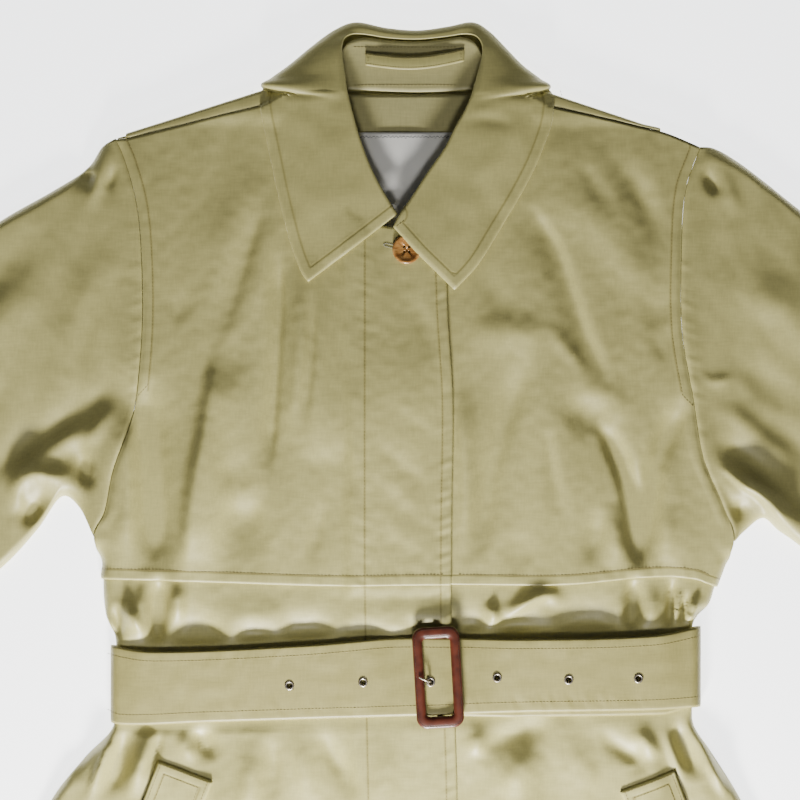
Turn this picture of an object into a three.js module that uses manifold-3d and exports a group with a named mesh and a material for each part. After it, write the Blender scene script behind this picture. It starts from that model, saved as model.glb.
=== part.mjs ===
// Belted trench coat, laid out flat and face up, collar folded down and belt fastened.
// Millimetres. +X is the wearer's left, +Y the collar end, +Z up from the surface under it.
import * as THREE from 'three';
import { mergeVertices } from 'three/addons/utils/BufferGeometryUtils.js';
import Module from 'manifold-3d';

const wasm = await Module();
wasm.setup();

// Cloth
const CLOTH = 1.4;
const GAP = 0.4;
const LAYER = CLOTH + GAP;
const COLLAR_CLOTH = 1.6;
const FULLNESS = 5;
const EDGE_HEIGHT = 0.2;
const HEM_Y = -518.6;

// Front closing
const OVERLAP = 77;
const STEP_UP = 12;

// Belt and what is on it
const BELT_THICKNESS = 2;
const BELT_LAYER = BELT_THICKNESS + GAP;
const BELT_BED = 6.9;
const BELT_TIP_X = 150;
const BELT_MARGIN = 12;
const BACK_FADE = 32;
const FRONT_FADE = 25;
const EYELET_HOLE = 2;
const EYELET_RADIUS = 3.8;
const BUCKLE = { x: 30.4, y: -4.4, width: 38, height: 81, sideBar: 8, endBar: 9.5, thick: 3.4, turn: 3.3 };
const BUCKLE_CORNER = 9;
const PRONG_RADIUS = 0.9;
const BUTTON = { x: 5.4, y: 337, radius: 11.5, thick: 2.8 };

// Where the back lies on the turned-down collar, and where the fronts rise with it
const NECK_LIFT = { fromY: 384, toY: 422, right: [-132, -116], left: [128, 144] };
const NECK_RISE = { fromY: 434, toY: 446, rise: 1.6 };

// Colours
const KHAKI = 0xb3ab7e;
const LEATHER = 0x6f2f1c;
const NICKEL = 0xa9a69a;
const HORN = 0xa8712c;
const WOVEN_WHITE = 0xe9e7df;

// Outline of the body on the wearer's right, from the hem up to the shoulder tip
const RIGHT_SIDE = [
  { y: -520, x: -342 }, { y: -420, x: -338 }, { y: -320, x: -330 }, { y: -220, x: -318 },
  { y: -150, x: -300 }, { y: -103, x: -279 }, { y: -69, x: -252 }, { y: -50, x: -233 },
  { y: -38, x: -228 }, { y: -10, x: -228 }, { y: 26, x: -228 }, { y: 46, x: -236 },
  { y: 74, x: -238 }, { y: 88, x: -237.4 }, { y: 107.6, x: -244.5 }, { y: 127, x: -236 },
  { y: 160, x: -229 }, { y: 196, x: -216 },
  { y: 226, x: -209.8 }, { y: 282, x: -205.7 }, { y: 343, x: -207 }, { y: 378, x: -211 },
  { y: 410, x: -220 }, { y: 426, x: -227 },
];

// Outline of the body on the wearer's left
const LEFT_SIDE = [
  { y: -520, x: 342 }, { y: -420, x: 337 }, { y: -320, x: 329 }, { y: -220, x: 315 },
  { y: -150, x: 295 }, { y: -103, x: 272.5 }, { y: -64, x: 248 }, { y: -46, x: 236 },
  { y: -30, x: 234 }, { y: 0, x: 234 }, { y: 37, x: 235 }, { y: 52, x: 248 },
  { y: 65.4, x: 252.5 }, { y: 82, x: 259 }, { y: 104, x: 267 }, { y: 132, x: 258 },
  { y: 170, x: 242.4 }, { y: 216, x: 234.6 },
  { y: 271.5, x: 225.5 }, { y: 333, x: 225 }, { y: 386, x: 228.6 }, { y: 419, x: 240 },
];

const FRONT_EDGE = [
  { y: -520, x: 46 }, { y: -103, x: 45.3 }, { y: -46, x: 43.8 }, { y: 37, x: 40.8 },
  { y: 119, x: 40.8 }, { y: 217, x: 41.8 }, { y: 281, x: 38 }, { y: 335, x: 36 },
];

const CAPE_HEM = [
  { x: -240, y: 74 }, { x: -206, y: 73 }, { x: -142, y: 71 }, { x: -55, y: 68.4 },
  { x: 34, y: 69.2 }, { x: 131, y: 68.8 }, { x: 204, y: 75 }, { x: 237, y: 73 }, { x: 254, y: 65.4 },
];

// Shoulder seams and neckline of the two fronts
const FRONT_TOP = [
  { x: -227, y: 425 }, { x: -218, y: 426 }, { x: -111, y: 452 }, { x: -76, y: 459 },
  { x: -62, y: 402 }, { x: -45, y: 370 }, { x: -20, y: 357 }, { x: 10, y: 352 }, { x: 38, y: 338 },
  { x: 55, y: 362 }, { x: 74, y: 402 }, { x: 88, y: 459 }, { x: 122, y: 451.5 }, { x: 190, y: 436 },
  { x: 214, y: 430 }, { x: 240, y: 419 },
];

// Top of the back: shoulder folds and the seam of the collar stand
const BACK_TOP = [
  { x: -225, y: 427 }, { x: -157, y: 447 }, { x: -108, y: 457 }, { x: -72, y: 462 }, { x: 10, y: 462 },
  { x: 82, y: 462 }, { x: 118, y: 457 }, { x: 174, y: 443 }, { x: 238, y: 418 },
];

const BELT_TOP = [
  { x: -240, y: 22 }, { x: -198, y: 16 }, { x: -75, y: 21 }, { x: 0, y: 27 }, { x: 102, y: 26 },
  { x: 204, y: 29 }, { x: 245, y: 37 },
];

const BELT_BOTTOM = [
  { x: -240, y: -38 }, { x: -222, y: -43 }, { x: -157, y: -41 }, { x: 0, y: -36 },
  { x: 88, y: -33 }, { x: 204, y: -31 }, { x: 245, y: -28 },
];

const EYELETS = [
  { x: -88.4, y: -11.4 }, { x: -29.6, y: -8.7 }, { x: 24.4, y: -8.2 }, { x: 77.6, y: -5 },
  { x: 134.7, y: -6.6 }, { x: 190.4, y: -5.6 },
];

// Soft folds of the body: a line on the cloth, half width and rise, below zero for a trough
const BODY_FOLDS = [
  { x0: -196, y0: 215, x1: -186, y1: 84, width: 16, rise: -2.4 },
  { x0: -160, y0: 190, x1: -172, y1: 80, width: 14, rise: 3.6 },
  { x0: -92, y0: 350, x1: -98, y1: 160, width: 13, rise: -1.6 },
  { x0: -120, y0: 385, x1: -150, y1: 265, width: 18, rise: 2.6 },
  { x0: -70, y0: 300, x1: -78, y1: 110, width: 17, rise: 2.2 },
  { x0: 158, y0: 200, x1: 190, y1: 90, width: 14, rise: -2.2 },
  { x0: 130, y0: 420, x1: 176, y1: 355, width: 20, rise: 3 },
  { x0: 110, y0: 330, x1: 120, y1: 120, width: 20, rise: 2.4 },
  { x0: 205, y0: 190, x1: 228, y1: 90, width: 13, rise: 3.2 },
  { x0: -222, y0: 54, x1: -212, y1: 30, width: 9, rise: 3.4 },
  { x0: -193, y0: 74, x1: -198, y1: 20, width: 8, rise: -2.6 },
  { x0: -150, y0: 40, x1: -60, y1: 44, width: 13, rise: 2.6 },
  { x0: -20, y0: 46, x1: 90, y1: 44, width: 12, rise: 1.8 },
  { x0: 120, y0: 46, x1: 190, y1: 44, width: 12, rise: 2.2 },
  { x0: 213, y0: 76, x1: 214, y1: 30, width: 8, rise: -2.6 },
  { x0: -217, y0: -45, x1: -236, y1: -190, width: 11, rise: -2.6 },
  { x0: -200, y0: -50, x1: -212, y1: -230, width: 13, rise: 3.4 },
  { x0: -245, y0: -80, x1: -276, y1: -300, width: 13, rise: 3 },
  { x0: -161, y0: -45, x1: -146, y1: -90, width: 10, rise: -2 },
  { x0: -120, y0: -60, x1: -128, y1: -360, width: 22, rise: 2.8 },
  { x0: -60, y0: -60, x1: -66, y1: -300, width: 16, rise: -1.6 },
  { x0: 90, y0: -60, x1: 100, y1: -330, width: 20, rise: 2.6 },
  { x0: 150, y0: -50, x1: 158, y1: -120, width: 12, rise: -1.8 },
  { x0: 214, y0: -45, x1: 250, y1: -190, width: 11, rise: -2.6 },
  { x0: 198, y0: -50, x1: 214, y1: -240, width: 13, rise: 3.2 },
  { x0: 240, y0: -90, x1: 286, y1: -320, width: 13, rise: 3 },
];

// Sections of a sleeve from the armhole to the cuff: outer fold above, inner fold below
const RIGHT_SLEEVE = [
  { topX: -227, topY: 426, underX: -244.5, underY: 107.6 },
  { topX: -239, topY: 419, underX: -257, underY: 131 },
  { topX: -252, topY: 402, underX: -272, underY: 139 },
  { topX: -280, topY: 384, underX: -291, underY: 113 },
  { topX: -320, topY: 361, underX: -320, underY: 82 },
  { topX: -372, topY: 325, underX: -362, underY: 51 },
  { topX: -430, topY: 275, underX: -404, underY: 21 },
  { topX: -490, topY: 215, underX: -446, underY: -9 },
  { topX: -550, topY: 148, underX: -485, underY: -37 },
  { topX: -605, topY: 84, underX: -519, underY: -61 },
  { topX: -650, topY: 31, underX: -548, underY: -79 },
];

const LEFT_SLEEVE = [
  { topX: 240, topY: 419, underX: 267, underY: 104 },
  { topX: 252, topY: 418, underX: 276, underY: 112 },
  { topX: 270, topY: 409, underX: 291, underY: 122 },
  { topX: 294, topY: 391, underX: 304, underY: 112 },
  { topX: 320, topY: 370, underX: 322, underY: 99 },
  { topX: 372, topY: 330, underX: 364, underY: 64 },
  { topX: 430, topY: 278, underX: 405, underY: 29 },
  { topX: 490, topY: 217, underX: 446, underY: -5 },
  { topX: 550, topY: 149, underX: 485, underY: -35 },
  { topX: 605, topY: 84, underX: 519, underY: -60 },
  { topX: 650, topY: 31, underX: 548, underY: -79 },
];

const RIGHT_SLEEVE_FOLDS = [
  { x0: -225, y0: 405, x1: -236, y1: 380, width: 9, rise: -1.6 },
  { x0: -262, y0: 396, x1: -246, y1: 390, width: 8, rise: -2 },
  { x0: -305, y0: 158, x1: -258, y1: 150, width: 12, rise: 4.2 },
  { x0: -262, y0: 178, x1: -246, y1: 150, width: 9, rise: -2.4 },
  { x0: -300, y0: 122, x1: -292, y1: 134, width: 9, rise: -2 },
  { x0: -300, y0: 300, x1: -420, y1: 190, width: 24, rise: 3 },
  { x0: -330, y0: 190, x1: -450, y1: 100, width: 20, rise: 3.4 },
  { x0: -400, y0: 230, x1: -520, y1: 110, width: 16, rise: -2 },
  { x0: -450, y0: 60, x1: -540, y1: 0, width: 16, rise: 2.6 },
  { x0: -540, y0: 130, x1: -600, y1: 50, width: 16, rise: 2.4 },
];

const LEFT_SLEEVE_FOLDS = [
  { x0: 243, y0: 405, x1: 258, y1: 385, width: 9, rise: -1.6 },
  { x0: 250, y0: 157, x1: 330, y1: 108, width: 12, rise: 5 },
  { x0: 262, y0: 128, x1: 296, y1: 133, width: 8, rise: -2.6 },
  { x0: 290, y0: 200, x1: 400, y1: 130, width: 16, rise: -2.2 },
  { x0: 300, y0: 310, x1: 420, y1: 200, width: 24, rise: 3.2 },
  { x0: 330, y0: 190, x1: 460, y1: 90, width: 18, rise: 3 },
  { x0: 420, y0: 230, x1: 520, y1: 120, width: 16, rise: -2 },
  { x0: 450, y0: 50, x1: 540, y1: -10, width: 16, rise: 2.6 },
  { x0: 530, y0: 140, x1: 600, y1: 50, width: 16, rise: 2.4 },
];

// Collar fall from the wearer's right point round the neck to the left point: where it rolls, a
// place halfway down it or on its turn to the underside, and its outer edge
const COLLAR_FALL = [
  { roll: [-2.4, 365.5, 15.4], turn: [-40, 336.5, 14.4], edge: [-73.5, 311.6, 11.4], wraps: false },
  { roll: [-6, 371, 15.6], turn: [-48, 349, 14.8], edge: [-79.5, 321, 11.4], wraps: false },
  { roll: [-15.6, 387, 16.2], turn: [-58, 370, 15], edge: [-88, 345, 11.4], wraps: false },
  { roll: [-25, 406, 16.6], turn: [-66, 397, 15.2], edge: [-97, 381, 11.4], wraps: false },
  { roll: [-33, 428, 16.6], turn: [-73, 425, 15], edge: [-105, 419, 11], wraps: false },
  { roll: [-38, 446, 16.4], turn: [-80, 446, 14.8], edge: [-110.5, 446, 11.4], wraps: false },
  { roll: [-41, 458, 16.2], turn: [-84, 459, 14.4], edge: [-111.5, 459, 11.2], wraps: false },
  { roll: [-43, 467, 15.8], turn: [-110, 467.5, 8], edge: [-108.5, 466, 4.4], wraps: true },
  { roll: [-44.5, 479, 15], turn: [-103, 474, 6.4], edge: [-98, 461, 0.9], wraps: true },
  { roll: [-46.5, 492, 14], turn: [-88, 485, 5.6], edge: [-84, 454, 0.9], wraps: true },
  { roll: [-46, 503, 12], turn: [-70, 500, 5], edge: [-68, 450, 0.9], wraps: true },
  { roll: [-41, 509, 9], turn: [-52, 513, 4.4], edge: [-52, 449, 0.8], wraps: true },
  { roll: [-30, 510, 7.6], turn: [-35, 519, 4], edge: [-35, 448, 0.8], wraps: true },
  { roll: [-9, 507, 7.2], turn: [-11, 514.5, 4], edge: [-11, 447, 0.8], wraps: true },
  { roll: [14, 506, 7.2], turn: [14, 512.5, 4], edge: [14, 447, 0.8], wraps: true },
  { roll: [36, 508, 7.4], turn: [38, 515.5, 4], edge: [38, 447, 0.8], wraps: true },
  { roll: [51, 510, 8], turn: [58, 519, 4.2], edge: [56, 448, 0.8], wraps: true },
  { roll: [61, 508, 9.6], turn: [71, 512, 4.6], edge: [70, 449, 0.8], wraps: true },
  { roll: [66, 500, 12], turn: [84, 499, 5], edge: [84, 451, 0.8], wraps: true },
  { roll: [65, 488, 13.6], turn: [98, 484.5, 5.6], edge: [96, 454, 0.9], wraps: true },
  { roll: [62, 477, 14.8], turn: [112, 473.5, 6.4], edge: [108, 461, 0.9], wraps: true },
  { roll: [59, 466, 15.6], turn: [119.5, 466.5, 8], edge: [118.5, 465, 4.4], wraps: true },
  { roll: [56, 457, 16.2], turn: [95, 458, 14.4], edge: [122.5, 458, 11.2], wraps: false },
  { roll: [51.5, 447, 16.6], turn: [92, 446, 14.8], edge: [122, 445, 11.4], wraps: false },
  { roll: [45, 436, 16.8], turn: [88, 432, 15], edge: [118, 429, 11], wraps: false },
  { roll: [36, 418, 16.8], turn: [78, 409, 15.2], edge: [108, 404, 11.4], wraps: false },
  { roll: [22, 398, 16.8], turn: [66, 386, 15.4], edge: [95, 379, 11.6], wraps: false },
  { roll: [9.6, 379, 17], turn: [52, 361, 16], edge: [80, 354, 12.4], wraps: false },
  { roll: [0, 365, 17.2], turn: [36, 343, 17], edge: [62, 325, 14.6], wraps: false },
  { roll: [-5, 355, 17.4], turn: [13, 335, 17.4], edge: [43.5, 305, 15.4], wraps: false },
];

// Collar stand from the wearer's right end to the left end: its seam and its top edge
const COLLAR_STAND = [
  { seam: [-44, 372, 11], top: [-16, 382, 13.6] },
  { seam: [-58, 400, 10.4], top: [-29, 407, 14] },
  { seam: [-66, 425, 10], top: [-38, 428, 14] },
  { seam: [-68, 445, 8.6], top: [-43, 450, 13.6] },
  { seam: [-64, 459, 6.6], top: [-47, 470, 12.6] },
  { seam: [-54, 464.5, 5.2], top: [-49, 486, 11] },
  { seam: [-42, 466, 4.6], top: [-43, 501, 8.6] },
  { seam: [-30, 465.6, 4.6], top: [-30, 506.4, 6.8] },
  { seam: [-10, 464.6, 4.6], top: [-10, 504.6, 6.4] },
  { seam: [14, 464, 4.6], top: [14, 503.6, 6.4] },
  { seam: [36, 464.6, 4.6], top: [36, 505.4, 6.6] },
  { seam: [48, 465.6, 4.6], top: [50, 507, 7.2] },
  { seam: [60, 466, 4.6], top: [61, 501, 9] },
  { seam: [70, 464.5, 5.2], top: [67, 484, 11] },
  { seam: [79, 459, 6.6], top: [65, 468, 12.6] },
  { seam: [82, 445, 10.2], top: [60, 452, 13.6] },
  { seam: [79, 425, 10], top: [52, 434, 14] },
  { seam: [70, 400, 10.4], top: [37, 408, 14.2] },
  { seam: [57, 378, 11.4], top: [24, 388, 14.4] },
  { seam: [40, 362, 13], top: [13, 373, 14.6] },
];

// Pocket welts: middle of the top end, its half width, and how far it runs down the skirt
const WELT = { halfWidth: 23.5, length: 168, lift: 0.7, steps: 12, across: 4 };
const WELT_TOPS = { right: { x: -171.6, y: -79.7 }, left: { x: 197.8, y: -87.6 } };
const WELT_RUN = { x: 0.36, y: -0.933 };

// Reading tables and shaping

function lookup(table, key, column, value) {
  const last = table.length - 1;
  if (value <= table[0][key]) return table[0][column];
  if (value >= table[last][key]) return table[last][column];
  let i = 0;
  while (value > table[i + 1][key]) i += 1;
  const slope = (a, b) => (table[b][column] - table[a][column]) / (table[b][key] - table[a][key]);
  const span = table[i + 1][key] - table[i][key];
  const t = (value - table[i][key]) / span;
  const leaving = slope(Math.max(i - 1, 0), i + 1);
  const arriving = slope(i, Math.min(i + 2, last));
  const t2 = t * t;
  const t3 = t2 * t;
  return (2 * t3 - 3 * t2 + 1) * table[i][column] + (t3 - 2 * t2 + t) * span * leaving
    + (3 * t2 - 2 * t3) * table[i + 1][column] + (t3 - t2) * span * arriving;
}

function mix(a, b, t) {
  return a + (b - a) * t;
}

function easeBetween(from, to, value) {
  return THREE.MathUtils.smoothstep(value, from, to);
}

function foldRise(folds, x, y) {
  let rise = 0;
  for (const fold of folds) {
    const runX = fold.x1 - fold.x0;
    const runY = fold.y1 - fold.y0;
    const length = Math.hypot(runX, runY);
    const along = ((x - fold.x0) * runX + (y - fold.y0) * runY) / length;
    const across = ((x - fold.x0) * runY - (y - fold.y0) * runX) / length;
    const taper = Math.min(length * 0.4, 30);
    const ends = easeBetween(-taper, taper, along) * (1 - easeBetween(length - taper, length + taper, along));
    rise += fold.rise * ends * Math.exp(-((across / fold.width) ** 2));
  }
  return rise;
}

// One at the belt and just past it, fading to none away from its edges
function underBelt(x, y, fade) {
  const above = easeBetween(BELT_MARGIN, fade, y - lookup(BELT_TOP, 'x', 'y', x));
  const below = easeBetween(BELT_MARGIN, fade, lookup(BELT_BOTTOM, 'x', 'y', x) - y);
  return (1 - above) * (1 - below);
}

// How far the back is raised by the belt and the collar that pass beneath it
function backLift(x, y) {
  const sideLayers = 1 + easeBetween(BELT_TIP_X - 72, BELT_TIP_X - 38, x);
  const belt = underBelt(x, y, BACK_FADE) * sideLayers * BELT_LAYER;
  const across = easeBetween(...NECK_LIFT.right, x) * (1 - easeBetween(...NECK_LIFT.left, x));
  const collar = easeBetween(NECK_LIFT.fromY, NECK_LIFT.toY, y) * across;
  return belt + collar * (COLLAR_CLOTH + GAP);
}

// Underside of the lowest front layer
function frontBed(x, y) {
  const loose = FULLNESS + foldRise(BODY_FOLDS, x, y);
  const collar = easeBetween(NECK_RISE.fromY, NECK_RISE.toY, y) * NECK_RISE.rise;
  const floor = backLift(x, y) + CLOTH + 1;
  return Math.max(mix(loose + collar, BELT_BED, underBelt(x, y, FRONT_FADE)), floor);
}

// Closed solids

function faceOutwards(geometry) {
  const position = geometry.attributes.position;
  const index = geometry.index.array;
  const a = new THREE.Vector3();
  const b = new THREE.Vector3();
  const c = new THREE.Vector3();
  let volume = 0;
  for (let i = 0; i < index.length; i += 3) {
    a.fromBufferAttribute(position, index[i]);
    b.fromBufferAttribute(position, index[i + 1]);
    c.fromBufferAttribute(position, index[i + 2]);
    volume += a.dot(b.cross(c));
  }
  if (volume < 0) {
    for (let i = 0; i < index.length; i += 3) [index[i], index[i + 1]] = [index[i + 1], index[i]];
  }
  return geometry;
}

function sheetSolid(outer, inner) {
  const rows = outer.length;
  const columns = outer[0].length;
  const positions = [outer, inner].flat(2).flatMap((p) => [p.x, p.y, p.z]);
  const at = (side, j, i) => (side * rows + j) * columns + i;
  const indices = [];
  const quad = (a, b, c, d) => indices.push(a, b, c, a, c, d);
  const lastRow = rows - 1;
  const lastColumn = columns - 1;
  for (let j = 0; j < lastRow; j += 1) {
    for (let i = 0; i < lastColumn; i += 1) {
      quad(at(0, j, i), at(0, j, i + 1), at(0, j + 1, i + 1), at(0, j + 1, i));
      indices.push(at(1, j, i), at(1, j + 1, i + 1), at(1, j, i + 1));
      indices.push(at(1, j, i), at(1, j + 1, i), at(1, j + 1, i + 1));
    }
    quad(at(0, j, 0), at(0, j + 1, 0), at(1, j + 1, 0), at(1, j, 0));
    quad(at(1, j, lastColumn), at(1, j + 1, lastColumn), at(0, j + 1, lastColumn), at(0, j, lastColumn));
  }
  for (let i = 0; i < lastColumn; i += 1) {
    quad(at(1, 0, i), at(1, 0, i + 1), at(0, 0, i + 1), at(0, 0, i));
    quad(at(0, lastRow, i), at(0, lastRow, i + 1), at(1, lastRow, i + 1), at(1, lastRow, i));
  }
  const geometry = new THREE.BufferGeometry();
  geometry.setAttribute('position', new THREE.Float32BufferAttribute(positions, 3));
  geometry.setIndex(indices);
  return faceOutwards(geometry);
}

function toManifold(geometry) {
  const bare = new THREE.BufferGeometry();
  bare.setAttribute('position', geometry.attributes.position.clone());
  if (geometry.index) bare.setIndex(geometry.index.clone());
  const merged = mergeVertices(bare, 1e-4);
  return new wasm.Manifold(new wasm.Mesh({
    numProp: 3,
    vertProperties: new Float32Array(merged.attributes.position.array),
    triVerts: new Uint32Array(merged.index.array),
  }));
}

function fromManifold(solid) {
  const mesh = solid.getMesh();
  const geometry = new THREE.BufferGeometry();
  geometry.setAttribute('position', new THREE.BufferAttribute(new Float32Array(mesh.vertProperties), 3));
  geometry.setIndex(new THREE.BufferAttribute(new Uint32Array(mesh.triVerts), 1));
  return geometry;
}

// A wall of even thickness about a grid of middle points
function wallAbout(middle, thickness) {
  const rows = middle.length;
  const columns = middle[0].length;
  const outer = [];
  const inner = [];
  for (let j = 0; j < rows; j += 1) {
    outer.push([]);
    inner.push([]);
    for (let i = 0; i < columns; i += 1) {
      const acrossGrid = middle[j][Math.min(i + 1, columns - 1)].clone().sub(middle[j][Math.max(i - 1, 0)]);
      const alongGrid = middle[Math.min(j + 1, rows - 1)][i].clone().sub(middle[Math.max(j - 1, 0)][i]);
      const normal = acrossGrid.cross(alongGrid).normalize().multiplyScalar(thickness / 2);
      outer[j].push(middle[j][i].clone().add(normal));
      inner[j].push(middle[j][i].clone().sub(normal));
    }
  }
  return sheetSolid(outer, inner);
}

// Height of a grid of points at a place seen from above, or nothing outside it
function heightOn(grid, x, y) {
  const target = new THREE.Vector2(x, y);
  for (let j = 0; j < grid.length - 1; j += 1) {
    for (let i = 0; i < grid[0].length - 1; i += 1) {
      const [a, b, c, d] = [grid[j][i], grid[j][i + 1], grid[j + 1][i + 1], grid[j + 1][i]];
      for (const corners of [[a, b, c], [a, c, d]]) {
        const height = heightInTriangle(corners, target);
        if (height !== null) return height;
      }
    }
  }
  return null;
}

function heightInTriangle([a, b, c], target) {
  const area = (p, q, r) => (q.x - p.x) * (r.y - p.y) - (r.x - p.x) * (q.y - p.y);
  const whole = area(a, b, c);
  if (Math.abs(whole) < 1e-6) return null;
  const wa = area(target, b, c) / whole;
  const wb = area(a, target, c) / whole;
  const wc = 1 - wa - wb;
  if (Math.min(wa, wb, wc) < -1e-6) return null;
  return wa * a.z + wb * b.z + wc * c.z;
}

// The grid that all body layers share: rows run from hem (0) over cape hem (1) to shoulder (2)
const SKIRT_ROWS = [
  HEM_Y, -480, -440, -400, -355, -310, -265, -225, -190, -160, -135, -112, -92, -74, -58, -43,
  -15, 14, 28, 38, 49, 60, 70,
].map((y) => (y - HEM_Y) / (70 - HEM_Y));
const UPPER_ROWS = [0.045, 0.094, 0.15, 0.21, 0.28, 0.36, 0.44, 0.53, 0.62, 0.71, 0.8, 0.9, 1];
const CAPE_ROW = SKIRT_ROWS.length - 1;
const ROWS = [...SKIRT_ROWS, ...UPPER_ROWS.map((s) => s + 1)];
const ARMPIT_ROW = CAPE_ROW + 2;

// Columns: four for each turned edge, panel columns, and fixed ones about the front edge
const TURN = [90, 90, 50, 0].map((angle) => THREE.MathUtils.degToRad(angle));
const FLAT_INSET = [0, 3, 8, 15];
const SIDE_COLUMNS = 7;
const CENTRE_INSETS = [OVERLAP + STEP_UP, OVERLAP, 58, 40, 22, 8, 0];
const FIRST_CENTRE = TURN.length + SIDE_COLUMNS;
const OVERLAP_COLUMN = FIRST_CENTRE + 1;
const EDGE_COLUMN = FIRST_CENTRE + CENTRE_INSETS.length - 1;
const LAST_COLUMN = EDGE_COLUMN + SIDE_COLUMNS + TURN.length;

const RAILS = {
  right: { table: RIGHT_SIDE, sign: -1, levels: [HEM_Y, 74, 426] },
  left: { table: LEFT_SIDE, sign: 1, levels: [HEM_Y, 65.4, 419] },
};

function levelAt(levels, row) {
  return row <= 1 ? mix(levels[0], levels[1], row) : mix(levels[1], levels[2], row - 1);
}

// One where the side of the body is a fold on the surface, none where it is the armhole seam
function sideTurn(row) {
  return 1 - easeBetween(ROWS[ARMPIT_ROW - 1], ROWS[ARMPIT_ROW], row);
}

function sideFold(rail, row) {
  const y = levelAt(rail.levels, row);
  const x = lookup(rail.table, 'y', 'x', y);
  const turn = sideTurn(row);
  const foot = EDGE_HEIGHT * turn + backLift(x - rail.sign * 4, y);
  const bed = frontBed(x - rail.sign * 6, y);
  const radius = Math.max(bed - foot - 0.6, 0.8);
  return { x, y, turn, foot, bed, radius };
}

function turnedEdge(rail, row, k) {
  const fold = sideFold(rail, row);
  const turnedInset = fold.radius * (1 - Math.sin(TURN[k]));
  const inset = mix(FLAT_INSET[k], CLOTH + turnedInset, fold.turn);
  const drop = k === 0 ? fold.bed - fold.foot : fold.radius * (1 - Math.cos(TURN[k]));
  const lean = Math.atan2(Math.sin(TURN[k]) * fold.turn, mix(1, Math.cos(TURN[k]), fold.turn));
  return { x: fold.x - rail.sign * inset, drop: drop * fold.turn, lean: lean * rail.sign };
}

function bodyColumn(i, row) {
  const edgeX = lookup(FRONT_EDGE, 'y', 'x', levelAt([HEM_Y, 69, 338], row));
  if (i < TURN.length) return turnedEdge(RAILS.right, row, i);
  if (i > LAST_COLUMN - TURN.length) return turnedEdge(RAILS.left, row, LAST_COLUMN - i);
  if (i >= FIRST_CENTRE && i <= EDGE_COLUMN) {
    return { x: edgeX - CENTRE_INSETS[i - FIRST_CENTRE], drop: 0, lean: 0 };
  }
  const onRight = i < FIRST_CENTRE;
  const steps = SIDE_COLUMNS + 1;
  const from = turnedEdge(onRight ? RAILS.right : RAILS.left, row, TURN.length - 1).x;
  const to = onRight ? edgeX - CENTRE_INSETS[0] : edgeX;
  const count = onRight ? i - TURN.length + 1 : LAST_COLUMN - TURN.length - i + 1;
  return { x: mix(from, to, count / steps), drop: 0, lean: 0 };
}

function bodyY(i, row, top) {
  const atCape = lookup(CAPE_HEM, 'x', 'y', bodyColumn(i, 1).x);
  if (row <= 1) return mix(HEM_Y, atCape, row);
  return mix(atCape, lookup(top, 'x', 'y', bodyColumn(i, 2).x), row - 1);
}

function bodyPoint(i, row, offset) {
  const column = bodyColumn(i, row);
  const y = bodyY(i, row, FRONT_TOP);
  const z = frontBed(column.x, y) - column.drop;
  return new THREE.Vector3(
    column.x + Math.sin(column.lean) * offset,
    y,
    Math.max(z, EDGE_HEIGHT) + Math.cos(column.lean) * offset,
  );
}

function bodyGrid(fromRow, toRow, fromColumn, toColumn, offsetAt) {
  const grid = [];
  for (let j = fromRow; j <= toRow; j += 1) {
    const line = [];
    for (let i = fromColumn; i <= toColumn; i += 1) line.push(bodyPoint(i, ROWS[j], offsetAt(j, i)));
    grid.push(line);
  }
  return grid;
}

function bodyPanel(fromRow, toRow, fromColumn, toColumn, offsetAt) {
  const inner = bodyGrid(fromRow, toRow, fromColumn, toColumn, offsetAt);
  const outer = bodyGrid(fromRow, toRow, fromColumn, toColumn, (j, i) => offsetAt(j, i) + CLOTH);
  return { outer, geometry: sheetSolid(outer, inner) };
}

// Layers under the lapping right front
function lapLayers(j, i) {
  if (i < OVERLAP_COLUMN) return 0;
  return j < CAPE_ROW ? 1 : 2;
}

const LAST_ROW = ROWS.length - 1;
const frontLeft = bodyPanel(0, LAST_ROW, OVERLAP_COLUMN, LAST_COLUMN, () => 0);
const frontRight = bodyPanel(0, LAST_ROW, 0, EDGE_COLUMN, (j, i) => lapLayers(j, i) * LAYER);
const capeLeft = bodyPanel(CAPE_ROW, LAST_ROW, OVERLAP_COLUMN, LAST_COLUMN, () => LAYER);
const capeRight = bodyPanel(CAPE_ROW, LAST_ROW, 0, EDGE_COLUMN, (j, i) => (lapLayers(j, i) + 1) * LAYER);

// Top of the panels at a place, for what lies on them
function panelTop(x, y) {
  for (const panel of [capeRight, capeLeft, frontRight, frontLeft]) {
    const height = heightOn(panel.outer, x, y);
    if (height !== null) return height;
  }
  return null;
}

// Back, flat on the surface, and its turns over the shoulders

const BACK_COLUMNS = 12;
const BACK_ROWS = ROWS.filter((row, j) => j > CAPE_ROW || j > 12 || j % 2 === 0);

function backX(i, row) {
  const inset = mix(0.6, CLOTH + 1.4, sideTurn(row));
  const from = lookup(RIGHT_SIDE, 'y', 'x', levelAt(RAILS.right.levels, row)) + inset;
  const to = lookup(LEFT_SIDE, 'y', 'x', levelAt(RAILS.left.levels, row)) - inset;
  return mix(from, to, i / BACK_COLUMNS);
}

function backPoint(i, row, offset) {
  const x = backX(i, row);
  const atCape = lookup(CAPE_HEM, 'x', 'y', backX(i, 1));
  const top = lookup(BACK_TOP, 'x', 'y', backX(i, 2));
  const y = row <= 1 ? mix(HEM_Y + 2, atCape, row) : mix(atCape, top, row - 1);
  return new THREE.Vector3(x, y, backLift(x, y) + offset);
}

function backSheet() {
  const grid = (offset) => BACK_ROWS.map((row) => (
    Array.from({ length: BACK_COLUMNS + 1 }, (unused, i) => backPoint(i, row, offset))
  ));
  return sheetSolid(grid(CLOTH), grid(0));
}

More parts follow.
